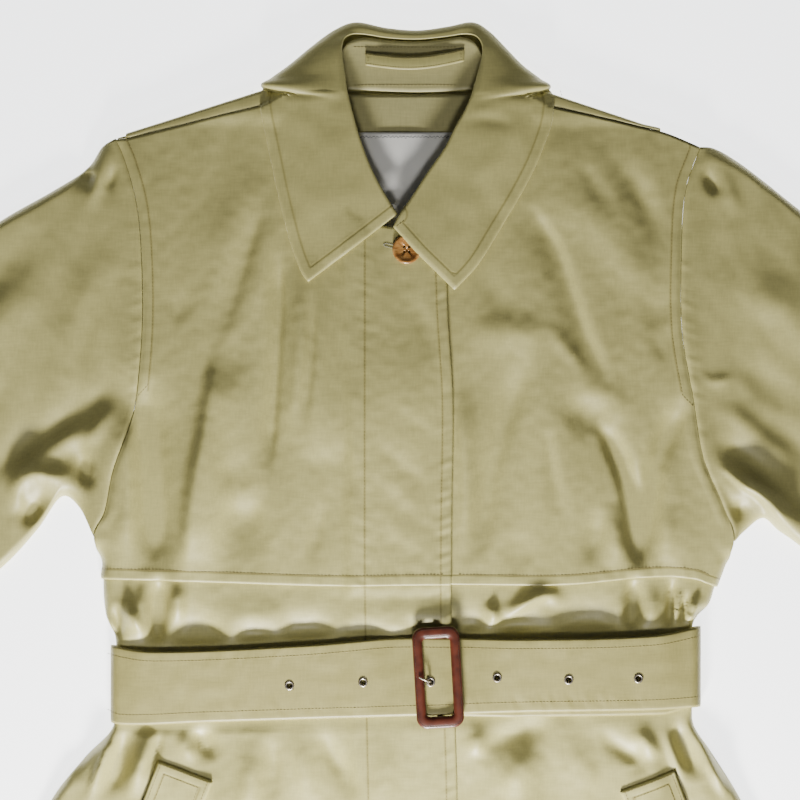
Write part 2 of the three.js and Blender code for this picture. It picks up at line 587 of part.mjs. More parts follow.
// The fold line of each shoulder, a little behind the seam of its front
const SHOULDER_FOLDS = {
  right: { fromX: -219, fromY: 430.6, toX: -114, toY: 464 },
  left: { fromX: 123, fromY: 462.2, toX: 204, toY: 435 },
};

function shoulderSeamAt(x) {
  const edge = bodyGrid(LAST_ROW, LAST_ROW, 0, LAST_COLUMN, () => LAYER + CLOTH / 2)[0];
  const i = edge.findIndex((point) => point.x > x);
  return edge[i - 1].clone().lerp(edge[i], (x - edge[i - 1].x) / (edge[i].x - edge[i - 1].x));
}

function shoulderTurn(side, steps) {
  const middle = [];
  for (let i = 0; i <= steps; i += 1) {
    const seam = shoulderSeamAt(mix(side.fromX, side.toX, i / steps));
    seam.y += GAP;
    const fold = Math.max(mix(side.fromY, side.toY, i / steps) - CLOTH / 2, seam.y + 2);
    const low = backLift(seam.x, fold - 8) + CLOTH / 2;
    const profile = [
      [fold - 8, low], [fold - 3, low], [fold - 0.6, mix(low, seam.z, 0.25)], [fold, mix(low, seam.z, 0.6)],
      [fold - 1, seam.z - 0.5], [mix(fold - 1, seam.y, 0.5), seam.z], [seam.y, seam.z],
    ];
    middle.push(profile.map(([y, z]) => new THREE.Vector3(seam.x, y, z)));
  }
  return wallAbout(middle, CLOTH);
}

function back() {
  return fromManifold(
    toManifold(backSheet())
      .add(toManifold(shoulderTurn(SHOULDER_FOLDS.right, 8)))
      .add(toManifold(shoulderTurn(SHOULDER_FOLDS.left, 6))),
  );
}

// Rows of the facing and the label, with the two between which the back rises
const NECK_ROWS = [NECK_LIFT.fromY, NECK_LIFT.toY, 431];

function neckFacing() {
  const grid = (offset) => [330, 352, ...NECK_ROWS, 444, 460].map((y) => (
    [-70, -36, 4, 44, 78].map((x) => new THREE.Vector3(x, y, backLift(x, y) + LAYER + offset))
  ));
  return sheetSolid(grid(CLOTH), grid(0));
}

// Sleeves

// Three columns at each fold of a sleeve turn down to the surface, or lie flat on the under layer
const SLEEVE_TURN = [90, 50, 0].map((angle) => THREE.MathUtils.degToRad(angle));
const UNDER_INSET = [4.6, 6.4, 8.6];

// Rows of the armhole as a sleeve meets them, from the shoulder to the armpit
const ARMHOLE_ROWS = ROWS.slice(ARMPIT_ROW).reverse();

function sleeveStation(rail, sections, count, k) {
  const seamColumn = rail.sign < 0 ? 0 : LAST_COLUMN;
  const first = bodyPoint(seamColumn, ARMHOLE_ROWS[0], 0);
  const last = bodyPoint(seamColumn, ARMHOLE_ROWS[ARMHOLE_ROWS.length - 1], 0);
  const seam = bodyPoint(seamColumn, ARMHOLE_ROWS[k], 0);
  const spread = (seam.y - first.y) / (last.y - first.y);
  const row = sections[count];
  const bend = (seam.x - mix(first.x, last.x, spread)) * Math.max(0, 1 - count / 4);
  const x = mix(row.topX, row.underX, spread) + bend + (count === 0 ? rail.sign * GAP : 0);
  return { x, y: mix(row.topY, row.underY, spread), seamHeight: frontBed(seam.x, seam.y) + LAYER };
}

function sleevePoint(rail, sections, folds, count, k, layer) {
  const row = sections[count];
  const station = sleeveStation(rail, sections, count, k);
  const across = new THREE.Vector2(row.underX - row.topX, row.underY - row.topY).normalize();
  const atTop = k < SLEEVE_TURN.length;
  const edge = atTop ? k : ARMHOLE_ROWS.length - 1 - k;
  const turn = edge < SLEEVE_TURN.length ? Math.min(count / 2, 1) : 0;
  const angle = turn > 0 ? SLEEVE_TURN[edge] : 0;
  const bed = FULLNESS + foldRise(folds, station.x, station.y);
  const high = layer.flat ? 0 : mix(station.seamHeight, bed, Math.min(count / 3, 1));
  const radius = high - 0.8;
  const inset = layer.flat ? UNDER_INSET[edge] : CLOTH + radius * (1 - Math.sin(angle));
  const rim = atTop
    ? new THREE.Vector2(row.topX, row.topY).addScaledVector(across, inset)
    : new THREE.Vector2(row.underX, row.underY).addScaledVector(across, -inset);
  const drop = edge === 0 ? high - EDGE_HEIGHT : radius * (1 - Math.cos(angle));
  const lean = layer.flat ? 0 : angle * turn * (atTop ? -1 : 1);
  const turned = new THREE.Vector2(mix(station.x, rim.x, turn), mix(station.y, rim.y, turn));
  const place = turn > 0 ? turned : station;
  return new THREE.Vector3(
    place.x + across.x * Math.sin(lean) * layer.offset,
    place.y + across.y * Math.sin(lean) * layer.offset,
    (layer.flat ? 0 : high - drop * turn) + Math.cos(lean) * layer.offset,
  );
}

function sleevePanel(rail, sections, folds, flat) {
  const grid = (offset) => sections.map((row, count) => (
    ARMHOLE_ROWS.map((seamRow, k) => sleevePoint(rail, sections, folds, count, k, { offset, flat }))
  ));
  return sheetSolid(grid(CLOTH), grid(0));
}

// Collar

function clearOfPanels(point, clearance) {
  const top = panelTop(point.x, point.y);
  if (top !== null) point.z = Math.max(point.z, top + clearance);
  return point;
}

function collarFall() {
  const turnRadius = 4;
  const steps = 8;
  const middle = COLLAR_FALL.map((row) => {
    const roll = new THREE.Vector3(...row.roll);
    const turn = new THREE.Vector3(...row.turn);
    const edge = new THREE.Vector3(...row.edge);
    const stations = [roll];
    if (row.wraps) {
      const over = turn.clone().lerp(roll, Math.min(turnRadius / turn.distanceTo(roll), 0.5));
      over.z = Math.min(turn.z * 1.75, roll.z);
      const under = turn.clone().lerp(edge, Math.min(turnRadius / turn.distanceTo(edge), 0.5));
      under.z = Math.min(edge.z + 0.1, turn.z);
      stations.push(over, turn, under, edge);
    } else {
      stations.push(roll.clone().lerp(turn, 0.5), turn, turn.clone().lerp(edge, 0.5), edge);
    }
    const points = new THREE.CatmullRomCurve3(stations, false, 'centripetal').getPoints(steps);
    points.forEach((point) => { point.z = Math.max(point.z, COLLAR_CLOTH / 2); });
    return row.wraps ? points : points.map((point) => clearOfPanels(point, COLLAR_CLOTH));
  });
  return wallAbout(middle, COLLAR_CLOTH);
}

function collarStand() {
  const middle = COLLAR_STAND.map((row) => {
    const seam = new THREE.Vector3(...row.seam);
    const top = new THREE.Vector3(...row.top);
    return [0, 1 / 3, 2 / 3, 1].map((t) => {
      const point = seam.clone().lerp(top, t);
      point.z -= Math.sin(t * Math.PI) * 0.6;
      return clearOfPanels(point, CLOTH / 2 + 2);
    });
  });
  return wallAbout(middle, CLOTH);
}

// Hanger loop: a folded strip held at both ends on the stand
function hangerLoop() {
  const from = { x: -27.5, y: 490 };
  const to = { x: 51, y: 493 };
  const steps = 14;
  const middle = [];
  for (let i = 0; i <= steps; i += 1) {
    const t = i / steps;
    const sag = Math.sin(t * Math.PI) * 5;
    const y = mix(from.y, to.y, t) - sag;
    const x = mix(from.x, to.x, t);
    const free = easeBetween(0.08, 0.2, t) * (1 - easeBetween(0.8, 0.92, t));
    middle.push([-5, 5].map((side) => new THREE.Vector3(x, y + side, 7.6 + (y + side - 490) * 0.045 + free)));
  }
  return wallAbout(middle, 1);
}

function label() {
  const grid = (offset) => [352, ...NECK_ROWS].map((y) => (
    [-36, 4, 44].map((x) => new THREE.Vector3(x, y, backLift(x, y) + 2 * LAYER + offset))
  ));
  return sheetSolid(grid(0.8), grid(0));
}

function button() {
  const profile = [
    [0, 0], [0.55, 0], [0.9, 0.25], [1, 0.6], [0.96, 0.9], [0.86, 1], [0.72, 0.8], [0, 0.72],
  ].map(([r, h]) => new THREE.Vector2(r * BUTTON.radius, h * BUTTON.thick));
  const disc = new THREE.LatheGeometry(profile, 24);
  disc.rotateX(Math.PI / 2);
  let solid = toManifold(disc);
  for (const [x, y] of [[-2, -2], [2, -2], [2, 2], [-2, 2]]) {
    const hole = new THREE.CylinderGeometry(1, 1, BUTTON.thick * 3, 8);
    hole.rotateX(Math.PI / 2);
    hole.translate(x, y, 0);
    solid = solid.subtract(toManifold(hole));
  }
  const geometry = fromManifold(solid);
  geometry.translate(BUTTON.x, BUTTON.y, panelTop(BUTTON.x, BUTTON.y) + GAP);
  return geometry;
}

// Belt: a strip wound once round the waist, with its tip end over the buckle end

const FRONT_TOP_Z = BELT_BED + CLOTH + GAP;
const LAP_TOP_Z = FRONT_TOP_Z + LAYER;
const BUCKLE_Z = LAP_TOP_Z + 6.8;

const BELT_ROWS = [-43, -15, 14, 28].map((y) => (y - HEM_Y) / (70 - HEM_Y));

function beltSide(rail, z, layersOut) {
  const fold = sideFold(rail, BELT_ROWS[2]);
  fold.x = rail.sign * Math.max(...BELT_ROWS.map((row) => Math.abs(sideFold(rail, row).x)));
  const inner = fold.radius + CLOTH + GAP + layersOut * BELT_LAYER;
  const centreX = fold.x - rail.sign * (CLOTH + fold.radius);
  const centreZ = fold.bed - fold.radius;
  const points = [0, 30, 60, 90].map((degrees) => {
    const angle = THREE.MathUtils.degToRad(degrees);
    return {
      x: centreX + rail.sign * Math.sin(angle) * inner,
      z: centreZ + Math.cos(angle) * inner,
      outX: rail.sign * Math.sin(angle),
      outZ: Math.cos(angle),
    };
  });
  const underRadius = Math.max(centreZ - z, 0.6);
  const rimX = centreX + rail.sign * (inner - underRadius);
  for (const degrees of [120, 150, 180]) {
    const angle = THREE.MathUtils.degToRad(degrees);
    points.push({
      x: rimX + rail.sign * Math.sin(angle) * underRadius,
      z: z + underRadius + Math.cos(angle) * underRadius,
      outX: rail.sign * Math.sin(angle),
      outZ: Math.cos(angle),
    });
  }
  return points;
}

function beltPath() {
  const up = (x, z, shift = 0) => ({ x, z, outX: 0, outZ: 1, shift });
  const down = (x, z) => ({ x, z, outX: 0, outZ: -1 });
  const under = BELT_THICKNESS;
  const path = [up(34, LAP_TOP_Z), up(41, LAP_TOP_Z), up(52, FRONT_TOP_Z, -2), up(88, FRONT_TOP_Z, -4)];
  path.push(up(130, FRONT_TOP_Z, -4), up(175, FRONT_TOP_Z, -4), up(212, FRONT_TOP_Z, -4));
  path.push(...beltSide(RAILS.left, under + BELT_LAYER, 0));
  path.push(down(215, under + BELT_LAYER), down(185, under + BELT_LAYER), down(148, under + BELT_LAYER));
  path.push(down(118, under), down(60, under), down(0, under), down(-70, under), down(-140, under));
  path.push(down(-195, under));
  path.push(...beltSide(RAILS.right, under, 0).reverse());
  path.push(up(-200, FRONT_TOP_Z), up(-150, FRONT_TOP_Z), up(-110, FRONT_TOP_Z), up(-75, FRONT_TOP_Z));
  path.push(up(-52, FRONT_TOP_Z), up(-36, LAP_TOP_Z), up(-10, LAP_TOP_Z), up(8, LAP_TOP_Z + 1));
  path.push(up(16, LAP_TOP_Z + 2.4), up(25, LAP_TOP_Z + 4), up(30.4, LAP_TOP_Z + 4.4));
  path.push(up(36, LAP_TOP_Z + 4), up(45, LAP_TOP_Z + 2.5), up(56, FRONT_TOP_Z + BELT_LAYER + 0.6));
  path.push(up(90, FRONT_TOP_Z + BELT_LAYER), up(130, FRONT_TOP_Z + BELT_LAYER));
  path.push(up(175, FRONT_TOP_Z + BELT_LAYER), up(212, FRONT_TOP_Z + BELT_LAYER));
  path.push(...beltSide(RAILS.left, under, 1));
  path.push(down(215, under), down(185, under), down(BELT_TIP_X + 10, under), down(BELT_TIP_X, under));
  return path;
}

function belt() {
  const grid = (offset) => beltPath().map((station) => {
    const shift = station.shift ?? 0;
    const x = THREE.MathUtils.clamp(station.x, -238, 243);
    const low = lookup(BELT_BOTTOM, 'x', 'y', x) + shift;
    const high = lookup(BELT_TOP, 'x', 'y', x) + shift;
    return [0, 0.5, 1].map((t) => new THREE.Vector3(
      station.x + station.outX * offset,
      mix(low, high, t),
      station.z + station.outZ * offset,
    ));
  });
  let solid = toManifold(sheetSolid(grid(BELT_THICKNESS), grid(0)));
  for (const eyelet of EYELETS) {
    const bore = new THREE.CylinderGeometry(EYELET_HOLE + 0.9, EYELET_HOLE + 0.9, 12, 16);
    bore.rotateX(Math.PI / 2);
    bore.translate(eyelet.x, eyelet.y, beltTopAt(eyelet.x));
    solid = solid.subtract(toManifold(bore));
  }
  return fromManifold(solid);
}

function beltTopAt(x) {
  const path = beltPath().filter((station) => station.outZ === 1);
  const strap = path.slice(path.findIndex((station) => station.x < -190));
  const i = strap.findIndex((station) => station.x > x);
  const t = (x - strap[i - 1].x) / (strap[i].x - strap[i - 1].x);
  return mix(strap[i - 1].z, strap[i].z, t) + BELT_THICKNESS;
}

function eyeletRing(eyelet) {
  const rim = 0.7;
  const depth = 1.7;
  const barrel = EYELET_HOLE + 0.6;
  const profile = [
    [EYELET_HOLE, -depth], [barrel, -depth], [barrel, 0.3], [EYELET_RADIUS, 0.3],
    [EYELET_RADIUS - 0.5, rim + 0.3], [EYELET_HOLE + 0.3, rim + 0.3], [EYELET_HOLE, 0.5],
    [EYELET_HOLE, -depth],
  ].map(([r, z]) => new THREE.Vector2(r, z));
  const ring = new THREE.LatheGeometry(profile, 14);
  ring.rotateX(Math.PI / 2);
  const slope = Math.atan2(beltTopAt(eyelet.x + 2) - beltTopAt(eyelet.x - 2), 4);
  ring.rotateY(-slope);
  ring.translate(eyelet.x, eyelet.y, beltTopAt(eyelet.x));
  return ring;
}

function roundedFrame(width, height, corner) {
  const shape = new THREE.Shape();
  const x = width / 2;
  const y = height / 2;
  shape.moveTo(-x + corner, -y);
  shape.lineTo(x - corner, -y);
  shape.absarc(x - corner, -y + corner, corner, -Math.PI / 2, 0);
  shape.lineTo(x, y - corner);
  shape.absarc(x - corner, y - corner, corner, 0, Math.PI / 2);
  shape.lineTo(-x + corner, y);
  shape.absarc(-x + corner, y - corner, corner, Math.PI / 2, Math.PI);
  shape.lineTo(-x, -y + corner);
  shape.absarc(-x + corner, -y + corner, corner, Math.PI, Math.PI * 1.5);
  return shape;
}

function buckle() {
  const frame = roundedFrame(BUCKLE.width - 2, BUCKLE.height - 2, BUCKLE_CORNER - 1);
  const windowWidth = BUCKLE.width - 2 * BUCKLE.sideBar + 1;
  const windowHeight = BUCKLE.height - 2 * BUCKLE.endBar + 1;
  const window = roundedFrame(windowWidth, windowHeight, 3);
  frame.holes.push(new THREE.Path(window.getPoints(3).reverse()));
  const ring = new THREE.ExtrudeGeometry(frame, {
    depth: BUCKLE.thick - 2,
    bevelThickness: 1,
    bevelSize: 1,
    bevelOffset: 0,
    bevelSegments: 2,
    curveSegments: 4,
  });
  ring.translate(0, 0, BUCKLE_Z + 1);
  const leg = { wide: 5, long: 4, y: BUCKLE.height / 2 - BUCKLE.endBar / 2 };
  const bar = new THREE.BoxGeometry(leg.wide, 2 * leg.y + leg.long, 1.4);
  bar.translate(0, 0, LAP_TOP_Z + 3.2);
  let solid = toManifold(ring).add(toManifold(bar));
  for (const end of [-1, 1]) {
    const post = new THREE.BoxGeometry(leg.wide, leg.long, BUCKLE_Z - LAP_TOP_Z - 2);
    post.translate(0, end * leg.y, (BUCKLE_Z + 0.5 + LAP_TOP_Z + 2.5) / 2);
    solid = solid.add(toManifold(post));
  }
  const geometry = fromManifold(solid);
  geometry.rotateZ(THREE.MathUtils.degToRad(BUCKLE.turn));
  geometry.translate(BUCKLE.x, BUCKLE.y, 0);
  return geometry;
}

function prong() {
  const hole = EYELETS[2];
  const over = BUCKLE_Z + BUCKLE.thick + PRONG_RADIUS + GAP;
  const strap = beltTopAt(hole.x);
  const route = [
    [hole.x + 0.6, hole.y, strap - BELT_THICKNESS - 0.3], [hole.x + 0.4, hole.y, strap - 0.8],
    [hole.x - 0.2, hole.y, strap + 1], [hole.x - 3, hole.y + 1.4, over - 0.6],
    [hole.x - 6, hole.y + 2.6, over], [hole.x - 9.6, hole.y + 4.4, over],
  ].map((point) => new THREE.Vector3(...point));
  const section = new THREE.Shape();
  section.absarc(0, 0, PRONG_RADIUS, 0, Math.PI * 2);
  return new THREE.ExtrudeGeometry(section, {
    extrudePath: new THREE.CatmullRomCurve3(route), steps: 10, curveSegments: 4, bevelEnabled: false,
  });
}

// Pocket welts, made from the points of the front beneath them
function pocketWelt(top, sign, panel) {
  const run = new THREE.Vector2(WELT_RUN.x * sign, WELT_RUN.y);
  const across = new THREE.Vector2(-run.y, run.x);
  const grid = (offset) => Array.from({ length: WELT.steps + 1 }, (unused, j) => (
    Array.from({ length: WELT.across + 1 }, (unusedToo, i) => {
      const along = run.clone().multiplyScalar(WELT.length * j / WELT.steps);
      const aside = across.clone().multiplyScalar(WELT.halfWidth * (2 * i / WELT.across - 1));
      const x = top.x + along.x + aside.x;
      const y = top.y + along.y + aside.y;
      return new THREE.Vector3(x, y, heightOn(panel.outer, x, y) + WELT.lift + offset);
    })
  ));
  return sheetSolid(grid(CLOTH), grid(0));
}

// The coat

function part(name, geometry, color, roughness = 0.75, metalness = 0) {
  const mesh = new THREE.Mesh(geometry, new THREE.MeshStandardMaterial({ color, roughness, metalness }));
  mesh.name = name;
  return mesh;
}

const coat = new THREE.Group();
coat.add(part('back', back(), KHAKI));
coat.add(part('neck_facing', neckFacing(), KHAKI));
coat.add(part('front_left', frontLeft.geometry, KHAKI));
coat.add(part('cape_left', capeLeft.geometry, KHAKI));
coat.add(part('front_right', frontRight.geometry, KHAKI));
coat.add(part('cape_right', capeRight.geometry, KHAKI));
coat.add(part('sleeve_right_under', sleevePanel(RAILS.right, RIGHT_SLEEVE, RIGHT_SLEEVE_FOLDS, true), KHAKI));
coat.add(part('sleeve_right_top', sleevePanel(RAILS.right, RIGHT_SLEEVE, RIGHT_SLEEVE_FOLDS, false), KHAKI));
coat.add(part('sleeve_left_under', sleevePanel(RAILS.left, LEFT_SLEEVE, LEFT_SLEEVE_FOLDS, true), KHAKI));
coat.add(part('sleeve_left_top', sleevePanel(RAILS.left, LEFT_SLEEVE, LEFT_SLEEVE_FOLDS, false), KHAKI));
coat.add(part('pocket_welt_right', pocketWelt(WELT_TOPS.right, -1, frontRight), KHAKI));
coat.add(part('pocket_welt_left', pocketWelt(WELT_TOPS.left, 1, frontLeft), KHAKI));
coat.add(part('collar_stand', collarStand(), KHAKI));
coat.add(part('collar_fall', collarFall(), KHAKI));
coat.add(part('hanger_loop', hangerLoop(), KHAKI));
coat.add(part('label', label(), WOVEN_WHITE, 0.8));
coat.add(part('button', button(), HORN, 0.3));
coat.add(part('belt', belt(), KHAKI));
coat.add(part('buckle', buckle(), LEATHER, 0.35));
coat.add(part('prong', prong(), NICKEL, 0.35, 1));
EYELETS.forEach((eyelet, i) => coat.add(part(`eyelet_${i + 1}`, eyeletRing(eyelet), NICKEL, 0.4, 1)));

export default coat;
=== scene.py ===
import math
import bpy
import numpy as np
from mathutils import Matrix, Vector
from mathutils.bvhtree import BVHTree


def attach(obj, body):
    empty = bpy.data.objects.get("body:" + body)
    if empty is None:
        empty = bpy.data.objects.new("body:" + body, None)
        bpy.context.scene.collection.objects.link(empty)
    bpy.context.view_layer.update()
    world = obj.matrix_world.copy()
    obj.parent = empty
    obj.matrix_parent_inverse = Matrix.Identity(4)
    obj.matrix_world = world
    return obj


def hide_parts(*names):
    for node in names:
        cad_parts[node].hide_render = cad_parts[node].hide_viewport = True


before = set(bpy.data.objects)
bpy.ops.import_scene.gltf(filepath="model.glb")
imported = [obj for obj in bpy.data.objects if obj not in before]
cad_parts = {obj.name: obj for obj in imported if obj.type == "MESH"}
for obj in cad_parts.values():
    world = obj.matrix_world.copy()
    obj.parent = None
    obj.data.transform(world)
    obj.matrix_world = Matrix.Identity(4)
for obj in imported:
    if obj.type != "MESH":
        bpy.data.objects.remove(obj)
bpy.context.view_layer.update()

# Camera and studio. The coat is seen from straight above; one small lamp stands low beyond the
# hem, so that shadows fall towards the collar, and a weaker one fills them from above.

VIEW_WIDTH = 0.640
VIEW_MIDDLE = (0.0, 0.2168)
CAMERA_HEIGHT = 2.51
CLOTH_LEVEL = 0.010

camera_data = bpy.data.cameras.new("camera")
camera_data.lens = camera_data.sensor_width * (CAMERA_HEIGHT - CLOTH_LEVEL) / VIEW_WIDTH
camera = bpy.data.objects.new("camera", camera_data)
camera.location = (*VIEW_MIDDLE, CAMERA_HEIGHT)
bpy.context.scene.collection.objects.link(camera)
bpy.context.scene.camera = camera


def add_lamp(name, place, aim, size, power, colour):
    data = bpy.data.lights.new(name, "AREA")
    data.shape = "RECTANGLE"
    data.size, data.size_y = size
    data.energy = power
    data.color = colour
    lamp = bpy.data.objects.new(name, data)
    lamp.location = place
    lamp.rotation_euler = (Vector(aim) - Vector(place)).to_track_quat("-Z", "Y").to_euler()
    bpy.context.scene.collection.objects.link(lamp)


add_lamp("key", (-0.05, -0.80, 0.33), (0, 0.3, 0), (0.20, 0.14), 32, (1, 0.985, 0.95))
add_lamp("window", (0, -0.70, 1.10), (0, 0.1, 0), (0.4, 0.25), 8, (1, 0.985, 0.95))
world = bpy.data.worlds.new("studio")
world.use_nodes = True
world.node_tree.nodes["Background"].inputs["Color"].default_value = (0.94, 0.97, 1, 1)
world.node_tree.nodes["Background"].inputs["Strength"].default_value = 0.06
bpy.context.scene.world = world


def add_node(tree, kind, inputs=None, **settings):
    """A shader or geometry node with its settings, and each input linked or given a value."""
    made = tree.nodes.new(kind)
    for setting, value in settings.items():
        setattr(made, setting, value)
    for socket, value in (inputs or {}).items():
        if isinstance(value, bpy.types.NodeSocket):
            tree.links.new(value, made.inputs[socket])
        else:
            made.inputs[socket].default_value = value
    return made


def new_material(name, roughness, metallic=0.0, specular=0.5):
    material = bpy.data.materials.new(name)
    material.use_nodes = True
    shader = material.node_tree.nodes["Principled BSDF"]
    shader.inputs["Roughness"].default_value = roughness
    shader.inputs["Metallic"].default_value = metallic
    shader.inputs["Specular IOR Level"].default_value = specular
    return material, material.node_tree, shader


def colour_ramp(tree, factor, *stops):
    """Colours at places from 0 to 1, each stop a place and a colour."""
    ramp = add_node(tree, "ShaderNodeValToRGB", {"Fac": factor})
    elements = ramp.color_ramp.elements
    while len(elements) < len(stops):
        elements.new(0.5)
    for element, (place, colour) in zip(elements, stops):
        element.position = place
        element.color = (*colour, 1)
    return ramp.outputs["Color"]


def object_coordinates(tree):
    return add_node(tree, "ShaderNodeTexCoord").outputs["Object"]


def noise(tree, coordinates, scale, detail, **more):
    """The strength of a noise, from 0 to 1. More inputs go by their names."""
    inputs = {"Vector": coordinates, "Scale": scale, "Detail": detail, **more}
    return add_node(tree, "ShaderNodeTexNoise", inputs).outputs["Fac"]


FLOOR_SIZE = 30.0
floor_mesh = bpy.data.meshes.new("floor")
floor_corners = [(x * FLOOR_SIZE / 2, y * FLOOR_SIZE / 2, 0) for x, y in ((-1, -1), (1, -1), (1, 1), (-1, 1))]
floor_mesh.from_pydata(floor_corners, [], [(0, 1, 2, 3)])
floor = bpy.data.objects.new("floor", floor_mesh)
bpy.context.scene.collection.objects.link(floor)
floor_material, tree, shader = new_material("pale_floor", 0.85, specular=0.2)
mottle = noise(tree, object_coordinates(tree), 3.0, 3.0)
floor_colour = colour_ramp(tree, mottle, (0.3, (0.80, 0.80, 0.81)), (0.7, (0.83, 0.83, 0.83)))
tree.links.new(floor_colour, shader.inputs["Base Color"])
shader.inputs["Emission Color"].default_value = (0.97, 0.985, 1, 1)
shader.inputs["Emission Strength"].default_value = 3.0
floor_mesh.materials.append(floor_material)

# Back. One wide piece of cotton gabardine that lies on the surface and turns over each shoulder
# to meet the fronts. It is the first piece cut, and it gives the outline of both sides.
# Lengths in tables and cloth functions are in millimetres, and meshes are made in metres.

MM = 0.001
CLOTH = 1.4
GAP = 0.4
LAYER = CLOTH + GAP
FULLNESS = 7.6
LOW_FULLNESS = 0.8
EDGE_HEIGHT = 0.2
HEM_Y = -518.6
BELOW_ARMPIT = 1.045
ARMPIT = 1.094
BACK_INSET = CLOTH + 1.4
SHOULDER_INSET = 0.6

# Height up the coat, and the outline there
RIGHT_SIDE = [
    (-520, -342), (-420, -338), (-320, -330), (-220, -318), (-150, -300), (-103, -279), (-69, -252),
    (-50, -233), (-38, -228), (-10, -228), (26, -228), (46, -236), (74, -238), (88, -237.4),
    (107.6, -244.5), (127, -236), (160, -229), (196, -216), (226, -209.8), (282, -205.7),
    (343, -207), (378, -211), (410, -220), (426, -227),
]
LEFT_SIDE = [
    (-520, 342), (-420, 337), (-320, 329), (-220, 315), (-150, 295), (-103, 272.5), (-64, 248),
    (-46, 236), (-30, 234), (0, 234), (37, 235), (52, 248), (65.4, 252.5), (82, 259), (104, 267),
    (132, 258), (170, 242.4), (216, 234.6), (271.5, 225.5), (333, 225), (386, 228.6), (419, 240),
]
# Place across, and height up the coat
CAPE_HEM = [
    (-240, 74), (-206, 73), (-142, 71), (-55, 68.4), (34, 69.2), (131, 68.8), (204, 75), (237, 73),
    (254, 65.4),
]
BACK_TOP = [
    (-225, 427), (-157, 447), (-108, 457), (-72, 462), (10, 462), (82, 462), (118, 457), (174, 443),
    (238, 418),
]
BELT_TOP = [(-240, 22), (-198, 16), (-75, 21), (0, 27), (102, 26), (204, 29), (245, 37)]
BELT_BOTTOM = [(-240, -38), (-222, -43), (-157, -41), (0, -36), (88, -33), (204, -31), (245, -28)]

BELT_LAYER = 2.4
BELT_BED = 6.9
BELT_TIP_X = 150.0
BELT_MARGIN = 3.0
BACK_FADE = 12.0
FRONT_FADE = 10.0
COLLAR_UNDERLAY = 2.0

# Main folds of the body: a line on the cloth, half width and rise, below zero for a trough
BODY_FOLDS = [
    (-196, 215, -186, 84, 16, -2.4), (-160, 190, -172, 80, 14, 3.6), (-92, 350, -98, 160, 13, -1.6),
    (-120, 385, -150, 265, 18, 2.6), (-70, 300, -78, 110, 17, 2.2), (158, 200, 190, 90, 14, -2.2),
    (130, 420, 176, 355, 20, 3), (110, 330, 120, 120, 20, 2.4), (205, 190, 228, 90, 13, 3.2),
    (-222, 54, -212, 30, 9, 3.4), (-193, 74, -198, 20, 8, -2.6), (-150, 40, -60, 44, 13, 2.6),
    (-20, 46, 90, 44, 12, 1.8), (120, 46, 190, 44, 12, 2.2), (213, 76, 214, 30, 8, -2.6),
    (-217, -45, -236, -190, 11, -2.6), (-200, -50, -212, -230, 13, 3.4),
    (-245, -80, -276, -300, 13, 3), (-161, -45, -146, -90, 10, -2), (-120, -60, -128, -360, 22, 2.8),
    (-60, -60, -66, -300, 16, -1.6), (90, -60, 100, -330, 20, 2.6), (150, -50, 158, -120, 12, -1.8),
    (214, -45, 250, -190, 11, -2.6), (198, -50, 214, -240, 13, 3.2), (240, -90, 286, -320, 13, 3),
]


def read_off(table, value):
    """Smooth reading of a table of keys and values, and the end values outside it."""
    keys, values = np.array(table, float).T
    slopes = np.empty_like(keys)
    slopes[1:-1] = (values[2:] - values[:-2]) / (keys[2:] - keys[:-2])
    slopes[0] = (values[1] - values[0]) / (keys[1] - keys[0])
    slopes[-1] = (values[-1] - values[-2]) / (keys[-1] - keys[-2])
    i = np.clip(np.searchsorted(keys, value, side="right") - 1, 0, len(keys) - 2)
    span = keys[i + 1] - keys[i]
    t = np.clip((value - keys[i]) / span, 0, 1)
    rest = 1 - t
    start = (1 + 2 * t) * rest**2 * values[i] + t * rest**2 * span * slopes[i]
    end = t**2 * (3 - 2 * t) * values[i + 1] - t**2 * rest * span * slopes[i + 1]
    return start + end


def mix(a, b, t):
    return a + (b - a) * t


def ease(start, end, value):
    """A smooth step from 0 to 1 between start and end."""
    t = np.clip((value - start) / (end - start), 0, 1)
    return t * t * (3 - 2 * t)


def fold_rise(folds, x, y):
    """Height of soft straight folds at each place."""
    rise = np.zeros(np.broadcast(x, y).shape)
    for x0, y0, x1, y1, width, height in folds:
        length = math.hypot(x1 - x0, y1 - y0)
        along = ((x - x0) * (x1 - x0) + (y - y0) * (y1 - y0)) / length
        across = ((x - x0) * (y1 - y0) - (y - y0) * (x1 - x0)) / length
        taper = min(length * 0.4, 30)
        ends = ease(-taper, taper, along) * (1 - ease(length - taper, length + taper, along))
        rise = rise + height * ends * np.exp(-((across / width) ** 2))
    return rise


def smooth_path(points, steps):
    """A smooth curve through points, with steps points in each stretch."""
    points = np.array(points, float)
    count = np.arange(len(points))
    places = np.linspace(0, len(points) - 1, (len(points) - 1) * steps + 1)
    columns = [read_off(np.stack([count, column], 1), places) for column in points.T]
    return np.stack(columns, 1)


def path_distance(path, x, y):
    """Signed distance to a path, above zero on its left, and how far along it that is."""
    nearest = np.full(x.shape, 1e12)
    side = np.zeros(x.shape)
    along = np.zeros(x.shape)
    run = 0.0
    for (ax, ay), (bx, by) in zip(path, path[1:]):
        length = math.hypot(bx - ax, by - ay)
        t = np.clip(((x - ax) * (bx - ax) + (y - ay) * (by - ay)) / length**2, 0, 1)
        dx = x - ax - t * (bx - ax)
        dy = y - ay - t * (by - ay)
        square = dx * dx + dy * dy
        closer = square < nearest
        nearest = np.where(closer, square, nearest)
        side = np.where(closer, np.sign((bx - ax) * dy - (by - ay) * dx), side)
        along = np.where(closer, run + t * length, along)
        run += length
    return np.sqrt(nearest) * np.where(side < 0, -1, 1), along, run


